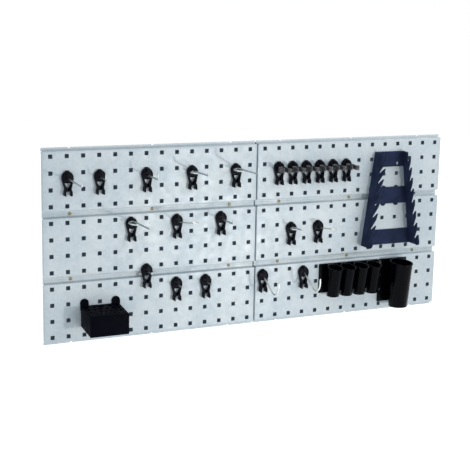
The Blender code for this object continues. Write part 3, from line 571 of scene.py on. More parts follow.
def sheet_shape():
    bm = bmesh.new()
    across = grid_lines(COLUMNS, FACE_HALF_WIDTH - FOLD, (-SCREW_SPACING, 0.0, SCREW_SPACING))
    up = grid_lines(ROWS, FACE_HALF_HEIGHT - FOLD)
    first = [bm.verts.new((x, 0.0, up[0])) for x in across]
    edges = [bm.edges.new(pair) for pair in zip(first, first[1:])]
    for lower, upper in zip(up, up[1:]):
        verts, edges = extrude_chain(bm, edges)
        bmesh.ops.translate(bm, vec=(0.0, 0.0, upper - lower), verts=verts)

    def in_hole(face):
        centre = face.calc_center_median()
        column = (centre.x / PITCH + (COLUMNS - 1) / 2) % 1.0
        row = (centre.z / PITCH + (ROWS - 1) / 2) % 1.0
        reach = HOLE / 2 / PITCH
        inside = abs(centre.x) < COLUMNS * PITCH / 2 and abs(centre.z) < ROWS * PITCH / 2
        return inside and min(column, 1 - column) < reach and min(row, 1 - row) < reach

    bmesh.ops.delete(bm, geom=[f for f in bm.faces if in_hole(f)], context="FACES")
    rims = {}
    for side, outward in SIDES.items():
        limit = (FACE_HALF_HEIGHT if outward[2] else FACE_HALF_WIDTH) - FOLD
        rims[side] = [e for e in bm.edges if e.is_boundary and
                      all(abs(v.co.dot(Vector(outward)) - limit) < SAME_PLACE for v in e.verts)]
    for side, edges in rims.items():
        outward = Vector(SIDES[side])
        steps = fold_profile(LIP if side in ("top", "bottom") else None)
        last = (0.0, 0.0, 0.0)
        for out, back, wider in steps:
            verts, edges = extrude_chain(bm, edges)
            shift = outward * (out - last[0]) + Vector((0, back - last[1], 0))
            bmesh.ops.translate(bm, vec=shift, verts=verts)
            for vert in verts:
                if abs(vert.co.x) > FACE_HALF_WIDTH - FOLD + last[2] - SAME_PLACE:
                    vert.co.x += math.copysign(wider - last[2], vert.co.x)
            last = (out, back, wider)
        if side in ("top", "bottom"):
            for vert in verts:
                nearest = round(vert.co.x / SCREW_SPACING) * SCREW_SPACING
                aside = min(abs(vert.co.x - nearest), NOTCH)
                vert.co -= outward * math.sqrt(NOTCH ** 2 - aside ** 2)
    bmesh.ops.recalc_face_normals(bm, faces=bm.faces)
    front = min(bm.faces, key=lambda f: f.calc_center_median().y)
    if front.normal.y > 0:
        bmesh.ops.reverse_faces(bm, faces=bm.faces)
    return bm


def punched_panel():
    """The sheet with its thickness, and with the corners of every square hole rounded."""
    bm = sheet_shape()
    flat = bpy.data.meshes.new("panel_flat")
    bm.to_mesh(flat)
    bm.free()
    holder = add_object("panel_flat", flat)
    thick = holder.modifiers.new("thickness", "SOLIDIFY")
    thick.thickness = SHEET
    thick.offset = -1.0
    thick.use_even_offset = True
    graph = bpy.context.evaluated_depsgraph_get()
    solid = bpy.data.meshes.new_from_object(holder.evaluated_get(graph))
    bpy.data.objects.remove(holder)
    bm = bmesh.new()
    bm.from_mesh(solid)
    corners = []
    for edge in bm.edges:
        one, other = edge.verts
        if abs((one.co - other.co).y) < SHEET * 0.9 or abs((one.co - other.co).length - SHEET) > 1e-5:
            continue
        if one.co.y > SHEET * 1.5 or other.co.y > SHEET * 1.5 or len(edge.link_faces) != 2:
            continue
        walls = [f for f in edge.link_faces if abs(f.normal.y) < 0.1 and len(f.verts) == 4]
        if len(walls) == 2 and abs(walls[0].normal.dot(walls[1].normal)) < 0.1:
            corners.append(edge)
    print("hole corners", len(corners))
    round_edges(bm, corners, HOLE_CORNER, 2)
    return to_mesh(bm, "panel")


panel = punched_panel()
for level in ("top", "middle", "bottom"):
    for side in ("left", "right"):
        node = f"panel_{level}_{side}"
        low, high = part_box(node)
        middle = ((low.x + high.x) / 2, low.y, (low.z + high.z) / 2)
        put(f"{node}_sheet", panel, finishes["sheet"], "board", node, middle, 30)
BOARD_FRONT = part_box("panel_middle_left")[0].y
print("panel triangles", sum(len(p.vertices) - 2 for p in panel.polygons))

# %% [markdown]
# ## The screws
#
# Two panels share each screw: its head presses on the lips above and below the joint. The head
# and the shank are turned about one line, and a hexagonal socket is cut into the dome.

# %% Build and place the screws
SCREW_HEAD = 0.0038
SCREW_RISE = 0.0022
SOCKET = 0.0019
SHANK_END = 0.0009
LIP_FRONT = -SHEET


def screw_shape():
    bm = turned([(0.0, 0.0), (SCREW_HEAD, 0.0), (SCREW_HEAD, 0.0006), (SCREW_HEAD * 0.93, 0.0012),
                 (SCREW_HEAD * 0.78, 0.0018), (SCREW_HEAD * 0.55, SCREW_RISE), (0.0, SCREW_RISE)],
                (0.0, 0.0, 0.0), 24)
    shank = turned([(0.0, -SHANK_END), (0.0020, -SHANK_END), (0.0020, 0.0005), (0.0, 0.0005)],
                   (0.0, 0.0, 0.0), 16)
    socket = bore(bmesh.new(), (0.0, -SCREW_RISE, 0.0), math.pi / 2, SOCKET, 0.003, 6)
    return combine("screw", bm, [("UNION", shank), ("DIFFERENCE", socket)])


screw = screw_shape()
row_height = panel_size.z
column_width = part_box("panel_middle_right")[0].x - panel_low.x
screw_places = []
for level, columns in ((row_height / 2, ((0, -1), (0, 0), (0, 1), (1, -1), (1, 0))),
                       (-row_height / 2, ((0, -1), (0, 1), (1, -1), (1, 0), (1, 1)))):
    for column, step in columns:
        x = (column - 0.5) * column_width + step * SCREW_SPACING
        screw_places.append((x, LIP_FRONT, level))
for number, place in enumerate(screw_places, 1):
    put(f"screw_{number}", screw, finishes["screw"], "board", offset=place)
print("screws at", [round(p[0], 3) for p in screw_places])

# %% [markdown]
# ## The clips
#
# One moulding is used twenty-one times. A round head covers the upper hole's tongue, a raised
# hub stiffens it, and two legs run down to forked feet that spring into the next hole. The
# legs lean out from the board towards the feet, so the slab is split at the bend before its
# front is moved. The wire leaves through a collar under the hub; the clips that carry a
# spring clamp have no collar, because the clamp's base lies flat there.

# %% Clip sizes
GAP = 0.0003
HEAD_RADIUS = 0.0138
HEAD_DROP = 0.0095
HEAD_DEPTH = 0.008
CLIP_TOP = 0.0058
BORE_DROP = 0.0125
WINDOW_TOP = 0.0195
FOOT_END = 0.052
FOOT_DEPTH = 0.015
LUG = 0.0092
LUG_LENGTH = 0.0055
LUG_EDGE = 0.0006
LUG_ROOT = 0.0015
PRONG_HALF = 0.001
HUB_DEPTH = 0.0112
HUB_ROOT = 0.001
LEG_DEPTH = HEAD_DEPTH - 0.0006
LEG_OUTLINE = (
    (0.0131, -0.0060), (0.0136, -0.0135), (0.0072, -0.0365), (0.0092, -0.0412), (0.0092, -0.0508),
    (0.0058, -0.0520), (0.0058, -0.0430), (0.0026, -0.0392), (0.0026, -0.0335), (0.0076, -0.0245),
    (0.0066, -0.0208), (0.0040, -0.0195),
)


def clip_hole(node):
    """The centre of a clip's upper hole on the board's front, from the clip's box."""
    return Vector((middle_x(node), BOARD_FRONT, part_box(node)[1].z - CLIP_TOP))


def lug_shape(x, root, z, front=BOARD_FRONT):
    """A square lug for the hole at x and z, which starts inside the piece that carries it."""
    half = LUG / 2
    return box_shape((x - half, root, z - half), (x + half, front + LUG_LENGTH, z + half), LUG_EDGE, 2)


# %% Build the clip
def clip_legs():
    bm = bmesh.new()
    right = list(LEG_OUTLINE)
    left = [(-x, z) for x, z in reversed(right)]
    points = [(x, -GAP, z) for x, z in right + left]
    last = len(points) - 1
    round_big = [2, 8, 9, last - 2, last - 8, last - 9]
    small = (3, 4, 5, 6, 7, 10, 11)
    round_small = list(small) + [last - i for i in small]
    face = outline_face(bm, points, ((round_big, 0.0022), (round_small, 0.0007)))
    pull_out(bm, face, (0.0, -LEG_DEPTH, 0.0))
    bmesh.ops.bisect_plane(bm, geom=bm.verts[:] + bm.edges[:] + bm.faces[:], dist=1e-6,
                           plane_co=(0.0, 0.0, -WINDOW_TOP - 0.0004), plane_no=(0.0, 0.0, 1.0))
    lean = (FOOT_DEPTH - HEAD_DEPTH) / (FOOT_END - WINDOW_TOP)
    front_y = -GAP - LEG_DEPTH
    for vert in bm.verts:
        if abs(vert.co.y - front_y) < 1e-5:
            vert.co.y -= lean * max(0.0, -vert.co.z - WINDOW_TOP)
    bmesh.ops.recalc_face_normals(bm, faces=bm.faces)
    round_edges(bm, sharp_edges(bm, 1.0, lambda a, b: max(a.y, b.y) < -0.006), 0.0008, 3)
    return bm


def clip_head():
    """The round head with a rolled edge and a low crown."""
    return turned([(0.0, 0.0), (HEAD_RADIUS, 0.0), (HEAD_RADIUS, 0.0040), (HEAD_RADIUS - 0.0005, 0.0056),
                   (HEAD_RADIUS - 0.0018, 0.0069), (HEAD_RADIUS - 0.0040, 0.0077),
                   (HEAD_RADIUS - 0.0070, HEAD_DEPTH), (0.0, HEAD_DEPTH)],
                  (0.0, -GAP, -HEAD_DROP), 48)


def clip_hub():
    """A tapered block from the knob on top down to the middle of the head."""
    bm = bmesh.new()
    corners = ((-0.0050, 0.0058), (0.0050, 0.0058), (0.0062, -0.0062), (-0.0062, -0.0062))
    points = [(x, -GAP - HUB_ROOT, z) for x, z in corners]
    face = outline_face(bm, points, (((0, 1), 0.0018),))
    pull_out(bm, face, (0.0, -HUB_DEPTH + HUB_ROOT, 0.0))
    front = [v for v in bm.verts if v.co.y < -0.008]
    bmesh.ops.scale(bm, vec=(0.62, 1.0, 0.62), verts=front, space=Matrix.Translation((0.0, 0.0, 0.0012)))
    bmesh.ops.recalc_face_normals(bm, faces=bm.faces)
    round_edges(bm, sharp_edges(bm, 0.5, lambda a, b: max(a.y, b.y) < -0.008), 0.0006, 2)
    return bm


def clip_shape(with_collar):
    changes = [("UNION", clip_head()), ("UNION", clip_hub())]
    if with_collar:
        changes.append(("UNION", turned(
            [(0.0, 0.002), (0.0040, 0.002), (0.0040, HEAD_DEPTH + 0.0010), (0.0034, HEAD_DEPTH + 0.0016),
             (0.0, HEAD_DEPTH + 0.0016)], (0.0, -GAP, -BORE_DROP), 24)))
    half = LUG / 2
    changes.append(("UNION", lug_shape(0.0, -LUG_ROOT, 0.0, front=0.0)))
    for side in (-1, 1):
        x = side * (half - PRONG_HALF)
        changes.append(("UNION", box_shape((x - PRONG_HALF, -LUG_ROOT, -PITCH - half),
                                           (x + PRONG_HALF, LUG_LENGTH, -PITCH + half), 0.0004, 2)))
    return combine("clip", clip_legs(), changes)


collared = clip_shape(True)
plain = clip_shape(False)
hook_names = sorted(n[5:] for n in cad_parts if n.startswith("hook_"))
clamp_names = sorted(n[13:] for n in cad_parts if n.startswith("spring_clamp_"))
for name in hook_names:
    put(f"clip_{name}_moulding", collared, finishes["clip"], f"peg_{name}", f"clip_{name}",
        clip_hole(f"clip_{name}"))
for name in clamp_names:
    put(f"clamp_clip_{name}_moulding", plain, finishes["clip"], f"tool_clamp_{name}",
        f"clamp_clip_{name}", clip_hole(f"clamp_clip_{name}"))
print("clips", len(hook_names) + len(clamp_names), "triangles each",
      sum(len(p.vertices) - 2 for p in collared.polygons))

# %% [markdown]
# ## The wire hooks
#
# Every hook is one length of wire bent in a jig. A ring is carried along the bent route and
# turned with it, and its first and last steps shrink to round the cut ends. The shapes are a
# straight peg with its tip turned up, a peg with one coil behind it, a thin wire that ends in
# a ring, and a large J.

# %% Carry a ring along a route
def sweep(points, radius, sides=12, cap_steps=3):
    points = [Vector(p) for p in points]
    tangents = [(points[min(i + 1, len(points) - 1)] - points[max(i - 1, 0)]).normalized()
                for i in range(len(points))]
    # Each station is (point, direction, size). The sizes shrink over the rounded ends.
    turns = [math.pi / 2 * i / (cap_steps + 1) for i in range(1, cap_steps + 1)]
    start, end = tangents[0], tangents[-1]
    stations = [(points[0] - start * radius * math.cos(t), start, math.sin(t)) for t in turns]
    stations += [(p, t, 1.0) for p, t in zip(points, tangents)]
    stations += [(points[-1] + end * radius * math.cos(t), end, math.sin(t)) for t in reversed(turns)]

    def placed(point, turn, size):
        return Matrix.Translation(point) @ turn.to_matrix().to_4x4() @ Matrix.Scale(size, 4)

    turn = start.to_track_quat("Z", "Y")
    place = placed(stations[0][0], turn, stations[0][2])
    bm = bmesh.new()
    bmesh.ops.create_circle(bm, segments=sides, radius=radius, cap_ends=True, matrix=place)
    edges = list(bm.edges)
    for (_, before, _), (point, tangent, size) in zip(stations, stations[1:]):
        turn = before.rotation_difference(tangent) @ turn
        following = placed(point, turn, size)
        verts, edges = extrude_chain(bm, edges)
        bmesh.ops.transform(bm, matrix=following @ place.inverted(), verts=verts)
        place = following
    bmesh.ops.contextual_create(bm, geom=edges)
    return bm


def rounded_route(corners, radius, steps=8):
    """Runs through the corners with each turn rounded off."""
    points = [Vector(corners[0])]
    for before, corner, after in zip(corners, corners[1:], corners[2:]):
        corner = Vector(corner)
        arrive, leave = Vector(before) - corner, Vector(after) - corner
        reach = min(radius, 0.45 * arrive.length, 0.45 * leave.length)
        start = corner + arrive.normalized() * reach
        end = corner + leave.normalized() * reach
        for i in range(steps + 1):
            t = i / steps
            points.append(start * (1 - t) ** 2 + corner * 2 * t * (1 - t) + end * t ** 2)
    return points + [Vector(corners[-1])]


# %% The four kinds of hook
WIRE = 0.0040
THIN_WIRE = 0.0032
BEND = 0.005
ROOT = Vector((0.0, -GAP - HEAD_DEPTH + 0.0062, -BORE_DROP))


def peg_route(reach, sag, tip):
    front = ROOT + Vector((0.0, -HEAD_DEPTH - 0.002, 0.0))
    end = Vector((0.0, -reach, ROOT.z - sag))
    return rounded_route([ROOT, front, end, end + Vector((0.0, -0.1 * tip, tip))], BEND)


def coil_route(reach, loop_radius, rise, tip, turns=32):
    loop_back = -GAP - HEAD_DEPTH - 0.003
    centre_y = loop_back - loop_radius
    points = [ROOT]
    for i in range(turns + 1):
        angle = 2 * math.pi * i / turns
        points.append(Vector((loop_radius * math.sin(angle), centre_y + loop_radius * math.cos(angle),
                              ROOT.z + rise * i / turns)))
    over = Vector((0.0, loop_back - 2 * loop_radius - 0.006, ROOT.z + rise + 0.001))
    end = Vector((0.0, -reach, over.z))
    return points + rounded_route([over, end, end + Vector((0.0, -0.1 * tip, tip))], BEND)


def ring_route(reach, rise, ring_radius, turns=24):
    front = ROOT + Vector((0.0, -HEAD_DEPTH - 0.002, 0.0))
    neck = Vector((0.0, -reach + 2 * ring_radius, ROOT.z + rise))
    points = rounded_route([ROOT, front, neck], BEND)
    centre = neck + Vector((ring_radius, 0.0, 0.0))
    for i in range(1, turns):
        angle = math.pi + 1.8 * math.pi * i / turns
        points.append(centre + Vector((ring_radius * math.cos(angle), ring_radius * math.sin(angle), 0.0)))
    return points


def j_route(reach, drop, tip):
    radius = (reach - HEAD_DEPTH) * 0.28
    bottom = ROOT.z - drop
    centre = Vector((0.0, -reach + radius, bottom + radius))
    points = [ROOT, ROOT + Vector((0.0, -HEAD_DEPTH + 0.001, 0.0))]
    for angle in range(220, 361, 7):
        turn = math.radians(angle)
        points.append(centre + Vector((0.0, -radius * math.cos(turn), radius * math.sin(turn))))
    return points + [Vector((0.0, -reach, ROOT.z + tip))]


HOOKS = {
    "1_1": (peg_route(0.112, 0.003, 0.005), WIRE, "wire"),
    "1_2": (peg_route(0.045, 0.001, 0.012), THIN_WIRE, "wire"),
    "1_3": (peg_route(0.074, 0.001, 0.014), WIRE, "wire"),
    "1_4": (coil_route(0.095, 0.010, 0.005, 0.006), WIRE, "wire"),
    "1_5": (coil_route(0.122, 0.014, 0.007, 0.016), WIRE, "wire"),
    "2_1": (coil_route(0.122, 0.012, 0.009, 0.014), WIRE, "wire"),
    "2_2": (ring_route(0.108, 0.012, 0.0070), THIN_WIRE, "bright"),
    "2_3": (peg_route(0.072, 0.001, 0.006), WIRE, "wire"),
    "2_4": (coil_route(0.058, 0.008, 0.006, 0.005), WIRE, "wire"),
    "2_5": (ring_route(0.080, 0.007, 0.0065), THIN_WIRE, "bright"),
    "3_1": (peg_route(0.038, 0.000, 0.003), WIRE, "wire"),
    "3_2": (peg_route(0.042, 0.000, 0.003), WIRE, "wire"),
    "3_3": (peg_route(0.042, 0.000, 0.003), WIRE, "wire"),
    "3_4": (j_route(0.090, 0.032, 0.001), WIRE, "bright"),
    "3_5": (j_route(0.090, 0.032, 0.001), WIRE, "bright"),
}
for name, (route, thickness, look) in HOOKS.items():
    wire = to_mesh(sweep(route, thickness / 2), "wire")
    put(f"hook_{name}_wire", wire, finishes[look], f"peg_{name}", f"hook_{name}",
        clip_hole(f"clip_{name}"), 60)
print("hooks", len(HOOKS))

# %% [markdown]
# ## The spring clamps
#
# Six clips in a row at the top right hold a handle clamp each: a strip of spring steel bent to
# two arms that swell, pinch and flare. The strip's outline is drawn from above, its bends are
# rounded, and it is pulled up to the strip's width. A rivet fastens it to the clip.

# %% Build and place the clamps
STRIP = 0.0012
CLAMP_HEIGHT = 0.012
CLAMP_ARM = (
    (0.0055, 0.0), (0.0085, 0.006), (0.0085, 0.022), (0.0048, 0.031), (0.0105, 0.040),
)
CLAMP_INSIDE = (
    (0.0093, 0.0404), (0.0034, 0.031), (0.0073, 0.0216), (0.0073, 0.0066), (0.0050, 0.0012),
)


def clamp_shape():
    back = -GAP - HEAD_DEPTH - GAP
    low = -BORE_DROP - CLAMP_HEIGHT / 2
    right = list(CLAMP_ARM) + list(CLAMP_INSIDE)
    left = [(-x, forward) for x, forward in reversed(right)]
    points = [(x, back - forward, low) for x, forward in right + left]
    last = len(points) - 1
    outer = [0, 1, 2, 3, last, last - 1, last - 2, last - 3]
    inner = [6, 7, 8, 9, last - 6, last - 7, last - 8, last - 9]
    bm = slab(points, (0.0, 0.0, CLAMP_HEIGHT), ((outer, 0.0018), (inner, 0.0012)))
    round_edges(bm, sharp_edges(bm, 1.2, lambda a, b: abs(a.z - b.z) < SAME_PLACE), 0.00025, 2)
    head = turned([(0.0, -0.0005), (0.0026, -0.0005), (0.0026, 0.0004), (0.0021, 0.0010), (0.0011, 0.0013),
                   (0.0, 0.0014)], (0.0, back - STRIP, -BORE_DROP), 20)
    shank = turned([(0.0, -0.006), (0.0018, -0.006), (0.0018, 0.0015), (0.0, 0.0015)],
                   (0.0, back, -BORE_DROP), 16)
    return combine("clamp", bm, [("UNION", head), ("UNION", shank)])


clamp = clamp_shape()
for name in clamp_names:
    put(f"spring_clamp_{name}_strip", clamp, finishes["spring"], f"tool_clamp_{name}",
        f"spring_clamp_{name}", clip_hole(f"clamp_clip_{name}"), 40)
print("clamps", len(clamp_names))

# %% [markdown]
# ## The wrench rack
#
# Two toothed combs stand further apart towards the foot, and near the top their fingers also
# lean inwards. Three plates across join them to the board. Each comb starts as its side view,
# with the bottoms of the slots and the tips of the fingers rounded, and is pulled sideways.
# Then each point moves sideways by how far down and how far forward it lies.

# %% Rack sizes
rack_low, rack_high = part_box("wrench_rack")
RACK_TOP = rack_high.z
RACK_CENTRE = middle_x("wrench_rack")
RACK_BACK = BOARD_FRONT - GAP
RACK_TALL = 0.241
RACK_TOP_HALF = 0.039
RACK_FOOT_HALF = 0.070
RACK_TOP_DEPTH = 0.031
TEETH_DEPTH = 0.045
RACK_FOOT_DEPTH = 0.049
RACK_LEAN = 0.008
RACK_PLATE = 0.0035
END_PLATE = 0.039
WAIST_RISE = 0.003
BOSS = 0.007
COMB = 0.004
SLOTS = 8
FIRST_TIP = 0.010
FIRST_STEP = 0.0258
STEP_GROWTH = 0.001
SLOT_WIDTH = 0.004
MOUTH = 0.013
MOUTH_INSET = 0.004
SLOT_LENGTH = 0.024
SLOT_SLOPE = math.radians(42)
FOOT_CUT = 0.006
RACK_HOLES = (0.381 - PITCH / 2, 0.381 + PITCH / 2)
HANG_HOLE = 0.0045
HANG_DROP = 0.031


def rack_half(down):
    return RACK_TOP_HALF + (RACK_FOOT_HALF - RACK_TOP_HALF) * down / RACK_TALL


# %% Build the combs
def comb_points():
    """The comb's side view as (forward, up from its top), with the corners to round."""
    points = [(0.0, 0.0), (RACK_TOP_DEPTH, 0.0)]
    slot_floors, tips, corners = [], [], [1]
    back = Vector((-math.cos(SLOT_SLOPE), -math.sin(SLOT_SLOPE)))
    over = Vector((-math.sin(SLOT_SLOPE), math.cos(SLOT_SLOPE)))
    down, step = FIRST_TIP, FIRST_STEP
    for number in range(SLOTS):
        depth = TEETH_DEPTH + (RACK_FOOT_DEPTH - TEETH_DEPTH) * down / RACK_TALL
        tip = Vector((depth, -down))
        floor = tip + back * SLOT_LENGTH
        if number > 0:
            corners.append(len(points))
            points.append((depth - MOUTH_INSET, MOUTH - down))
        slot_floors += [len(points), len(points) + 1]
        tips.append(len(points) + 2)
        points += [tuple(floor + over * SLOT_WIDTH), tuple(floor), tuple(tip)]
        down += step
        step += STEP_GROWTH
    points += [(RACK_FOOT_DEPTH, -RACK_TALL + FOOT_CUT), (RACK_FOOT_DEPTH - FOOT_CUT, -RACK_TALL),
               (0.0, -RACK_TALL)]
    corners += [len(points) - 3, len(points) - 2]
    return points, slot_floors, tips, corners


def comb_shape(side):
    points, slot_floors, tips, corners = comb_points()
    bm = slab([(0.0, RACK_BACK - forward, RACK_TOP + up) for forward, up in points],
              (side * COMB, 0.0, 0.0), ((slot_floors, 0.0018), (tips, 0.0030), (corners, 0.0022)))
    rim = sharp_edges(bm, 1.2, lambda a, b: abs(a.x - b.x) < SAME_PLACE
                      and max(a.y, b.y) < BOARD_FRONT - 0.002)
    round_edges(bm, rim, 0.0007, 2)
    bmesh.ops.triangulate(bm, faces=[f for f in bm.faces if len(f.verts) > 4])
    for vert in bm.verts:
        down = RACK_TOP - vert.co.z
        forward = RACK_BACK - vert.co.y
        lean = RACK_LEAN * (1 - down / RACK_TALL) * forward / TEETH_DEPTH
        vert.co.x += RACK_CENTRE + side * (rack_half(down) - lean)
    return bm


# %% Build the plates and join the rack
def cross_plate(top_down, foot_down, corner):
    """A plate between the combs, with its top and foot edges rounded at the front."""
    points = []
    for side, down in ((-1, foot_down), (1, foot_down), (1, top_down), (-1, top_down)):
        half = rack_half(down) + COMB * 0.4
        points.append((RACK_CENTRE + side * half, RACK_BACK, RACK_TOP - down))
    bm = slab(points, (0.0, -RACK_PLATE, 0.0))
    rim = sharp_edges(bm, 1.0, lambda a, b: abs(a.z - b.z) < SAME_PLACE and a.y < RACK_BACK - 0.002)
    round_edges(bm, rim, corner, 3)
    return bm


def rack_shape():
    changes = [("UNION", comb_shape(1))]
    first_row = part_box("clip_1_1")[1].z - CLIP_TOP
    upper, lower = first_row - 2 * PITCH, first_row - 3 * PITCH
    for top_down, foot_down in (
            (0.0, END_PLATE), (RACK_TOP - upper - WAIST_RISE, RACK_TOP - lower + WAIST_RISE / 2),
            (RACK_TALL - END_PLATE, RACK_TALL)):
        changes.append(("UNION", cross_plate(top_down, foot_down, 0.0009)))
    for x in RACK_HOLES:
        for z in (upper, lower):
            boss = turned([(0.0, 0.0), (BOSS, 0.0), (BOSS, RACK_PLATE - 0.0008),
                           (BOSS - 0.0008, RACK_PLATE), (0.0, RACK_PLATE)], (x, RACK_BACK, z), 28)
            changes += [("UNION", boss), ("UNION", lug_shape(x, RACK_BACK - 0.001, z))]
    hole = bore(bmesh.new(), (RACK_HOLES[1], RACK_BACK, RACK_TOP - HANG_DROP), math.pi / 2,
                HANG_HOLE, 0.04, 28)
    changes.append(("DIFFERENCE", hole))
    return combine("rack", comb_shape(-1), changes)


put("wrench_rack_moulding", rack_shape(), finishes["rack"], "wrench_rack", "wrench_rack")
print("rack", [round(c, 4) for c in rack_low], [round(c, 4) for c in rack_high])

# %% [markdown]
# ## The drill box
#
# A block with a sloping top and rows of round sockets hangs by two ears. The edges are rounded
# before the sockets are cut, so the Boolean leaves their rims crisp.

# %% Build the drill box
box_low, box_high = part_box("drill_box")
BOX_CENTRE = middle_x("drill_box")
BOX_WIDTH = 0.093
BOX_DEPTH = 0.071
BOX_HEIGHT = 0.049
BOX_DROP = 0.0085
EAR = 0.010
BOX_HOLES = ((5, 0.0100), (6, 0.0080), (7, 0.0064), (8, 0.0050))
SOCKET_DEPTH = 0.030
BOX_MARGIN = 0.010
EAR_LEVEL = box_high.z - EAR
BOX_TOP = EAR_LEVEL - 0.007


def drill_box_shape():
    back = BOARD_FRONT - GAP
    front = back - BOX_DEPTH
    left = BOX_CENTRE - BOX_WIDTH / 2
    bm = slab([(left, back, BOX_TOP), (left, back, BOX_TOP - BOX_HEIGHT),
               (left, front, BOX_TOP - BOX_DROP - BOX_HEIGHT), (left, front, BOX_TOP - BOX_DROP)],
              (BOX_WIDTH, 0.0, 0.0))
    rim = [e for e in bm.edges if min(v.co.y for v in e.verts) < back - 0.01]
    round_edges(bm, rim, 0.0014, 3)
    changes = []
    for side in (-1, 1):
        x = BOX_CENTRE + side * PITCH
        ear = turned([(0.0, 0.0), (EAR, 0.0), (EAR, 0.0024), (EAR - 0.0006, 0.003), (0.0045, 0.003),
                      (0.0038, 0.0018), (0.0, 0.0018)], (x, back, EAR_LEVEL), 32)
        web = box_shape((x - EAR, back - 0.003, BOX_TOP - 0.010), (x + EAR, back, EAR_LEVEL - 0.0002), 0.0)
        changes += [("UNION", ear), ("UNION", web)]
        for drop in (0.0, PITCH):
            changes.append(("UNION", lug_shape(x, back - 0.0012, EAR_LEVEL - drop)))
    tilt = math.atan2(BOX_DROP, BOX_DEPTH)
    sockets = bmesh.new()
    for number, (count, diameter) in enumerate(BOX_HOLES):
        share = (number + 0.5) / len(BOX_HOLES)
        y = back - BOX_MARGIN / 2 - share * (BOX_DEPTH - BOX_MARGIN)
        z = BOX_TOP + BOX_DROP * (y - back) / BOX_DEPTH
        span = BOX_WIDTH - 2 * BOX_MARGIN
        for i in range(count):
            x = BOX_CENTRE - span / 2 + span * i / (count - 1)
            bore(sockets, (x, y, z), tilt, diameter / 2, 2 * SOCKET_DEPTH, 20)
    changes.append(("DIFFERENCE", sockets))
    return combine("drill_box", bm, changes)


put("drill_box_moulding", drill_box_shape(), finishes["box"], "drill_box", "drill_box")
print("drill box", [round(c, 4) for c in box_low], [round(c, 4) for c in box_high])

# %% [markdown]
# ## The cups
#
# Each cup is one moulding with a round foot, an oval rim that slopes down to the front, a lip
# that flares outwards, and an upright back against its plate. It starts as a circle, which is
# extruded ring by ring: up the outside, over the lip, and down the inside to the floor. Each
# new ring is stretched and tilted into its place, so the shell is one closed skin. A
# down-turned tab at the rim drops into the plate's ledge.

# %% Cup sizes
CUP_PLATE = 0.003
CUP_WALL = 0.0016
CUP_FLOOR = 0.0020
HANGER_WIDTH = 0.016
HANGER_STRIP = 0.002
HANGER_DEEP = 0.008
CUP_LIP = 0.0014
SIDE_HOLE = 0.003
PLATE_TOP = 0.0052
LEDGE_BACK = -GAP - CUP_PLATE
LEDGE_LIP = LEDGE_BACK - HANGER_STRIP - 2 * GAP
LEDGE_FRONT = LEDGE_LIP - HANGER_STRIP
CUP_BACK = LEDGE_FRONT - GAP


def ring_place(across, along, middle_y, level, fall, x):
    """Turns a unit circle into an oval ring that slopes down towards the front."""
    return Matrix(((across, 0.0, 0.0, x), (0.0, along, 0.0, middle_y),
                   (0.0, fall / 2, 1.0, level - fall / 2), (0.0, 0.0, 0.0, 1.0)))


def cup_shape(node, foot, fall, steps):
    """A cup built at its own place from the CAD's box, ring by ring from the foot to the floor."""
    low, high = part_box(node)
    x = middle_x(node)
    back = BOARD_FRONT + CUP_BACK
    across = (high.x - low.x) / 2
    along = (back - low.y) / 2
    tall = high.z - low.z
    inner = CUP_LIP + CUP_WALL
    # Each ring is (kind, smaller than the foot or the rim by, height, inset of the back).
    rings = [("foot", 0.0020, 0.0, CUP_LIP + 0.0020), ("foot", 0.0005, 0.0006, CUP_LIP + 0.0005),
             ("foot", 0.0, 0.0022, CUP_LIP), ("rim", CUP_LIP, tall - 0.0036, CUP_LIP),
             ("rim", 0.0004, tall - 0.0031, 0.0004), ("rim", 0.0, tall - 0.0026, 0.0),
             ("rim", 0.0, tall - 0.0007, 0.0), ("rim", 0.0002, tall - 0.0002, 0.0002),
             ("rim", 0.0007, tall, 0.0007), ("rim", inner - 0.0007, tall, inner - 0.0007),
             ("rim", inner, tall - 0.0007, inner), ("foot", CUP_WALL, CUP_FLOOR + 0.0025, inner),
             ("foot", CUP_WALL + 0.0025, CUP_FLOOR, inner + 0.0025)]
    places = []
    for kind, less, level, inset in rings:
        half_x = (foot if kind == "foot" else across) - less
        half_y = (foot if kind == "foot" else along) - less
        slope = fall if kind == "rim" else 0.0
        places.append(ring_place(half_x, half_y, back - inset - half_y, low.z + level, slope, x))
    bm = bmesh.new()
    bmesh.ops.create_circle(bm, cap_ends=True, segments=steps, radius=1.0)
    bmesh.ops.transform(bm, matrix=places[0], verts=bm.verts)
    edges = bm.edges[:]
    for place, following in zip(places, places[1:]):
        verts, edges = extrude_chain(bm, edges)
        bmesh.ops.transform(bm, matrix=following @ place.inverted(), verts=verts)
    bmesh.ops.contextual_create(bm, geom=edges)
    bmesh.ops.recalc_face_normals(bm, faces=bm.faces)
    half = HANGER_WIDTH / 2
    hook_back = BOARD_FRONT + LEDGE_BACK - GAP
    top = high.z - 0.0002
    bar = box_shape((x - half, back - CUP_WALL, top - CUP_WALL + 0.0002), (x + half, hook_back, top))
    tab = box_shape((x - half, hook_back - HANGER_STRIP, top - HANGER_DEEP + 0.0002),
                    (x + half, hook_back, top))
    return combine(node, bm, [("UNION", bar), ("UNION", tab)])


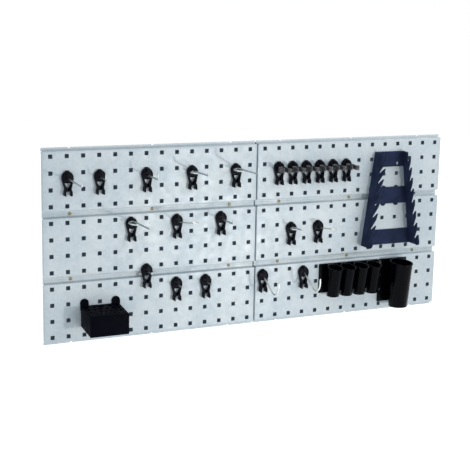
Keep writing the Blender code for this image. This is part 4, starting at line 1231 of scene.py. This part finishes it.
def cup_plate_shape(node, height, centres, ledge_level, side_holes, lugs):
    low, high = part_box(node)
    front = BOARD_FRONT - GAP
    bm = slab([(low.x, front, high.z - height), (high.x, front, high.z - height),
               (high.x, front, high.z), (low.x, front, high.z)],
              (0.0, -CUP_PLATE, 0.0), (((0, 1, 2, 3), 0.0020),))
    round_edges(bm, sharp_edges(bm, 1.2, lambda a, b: max(a.y, b.y) < front - 0.002), 0.0008, 2)
    changes = []
    half = HANGER_WIDTH / 2
    low_z = ledge_level - HANGER_DEEP
    back = BOARD_FRONT + LEDGE_BACK + 0.001
    for x in centres:
        corner = (x - half, BOARD_FRONT + LEDGE_FRONT, low_z - HANGER_STRIP)
        for far in ((x + half, back, low_z), (x + half, BOARD_FRONT + LEDGE_LIP, ledge_level)):
            changes.append(("UNION", box_shape(corner, far)))
    for x, z in lugs:
        changes.append(("UNION", lug_shape(x, front - 0.001, z)))
    for x, z in side_holes:
        hole = bore(bmesh.new(), (x, front, z), math.pi / 2, SIDE_HOLE, 0.012, 24)
        changes.append(("DIFFERENCE", hole))
    return combine(node, bm, changes)


# %% Place the plates and the cups
small_names = sorted(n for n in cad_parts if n.startswith("small_cup_") and n != "small_cup_plate")
small_centres = [middle_x(n) for n in small_names]
small_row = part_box("small_cup_plate")[1].z - PLATE_TOP
ledge_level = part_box("small_cup_1")[1].z - CUP_WALL - GAP
small_lugs = [(x, small_row - drop) for x in (small_centres[0], small_centres[-1])
              for drop in (0.0, PITCH)]
put("small_cup_plate_moulding",
    cup_plate_shape("small_cup_plate", 0.075, small_centres, ledge_level, (), small_lugs),
    finishes["cup"], "small_cup_plate", "small_cup_plate")
for node in small_names:
    put(f"{node}_shell", cup_shape(node, 0.0150, 0.0080, 64), finishes["cup"], node, node)
large_x = middle_x("large_cup")
large_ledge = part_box("large_cup")[1].z - CUP_WALL - GAP
large_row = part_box("large_cup_plate")[1].z - PLATE_TOP
large_holes = [(large_x - PITCH, large_row - drop * PITCH) for drop in (1, 2)]
large_lugs = [(large_x, large_row - drop * PITCH) for drop in (0, 1, 2)]
put("large_cup_plate_moulding",
    cup_plate_shape("large_cup_plate", 0.113, [large_x], large_ledge, large_holes, large_lugs),
    finishes["cup"], "large_cup_plate", "large_cup_plate")
put("large_cup_shell", cup_shape("large_cup", 0.0245, 0.0050, 72), finishes["cup"], "large_cup", "large_cup")
print("cups", small_names)

# %% [markdown]
# ## Finishing
#
# Both boxes are printed: the CAD's at the start, and the visible model's here. The
# visible model must keep to the CAD's box.

# %% Write the sizes and finish
low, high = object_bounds()
print("visual box", [round(c, 4) for c in low], [round(c, 4) for c in high])
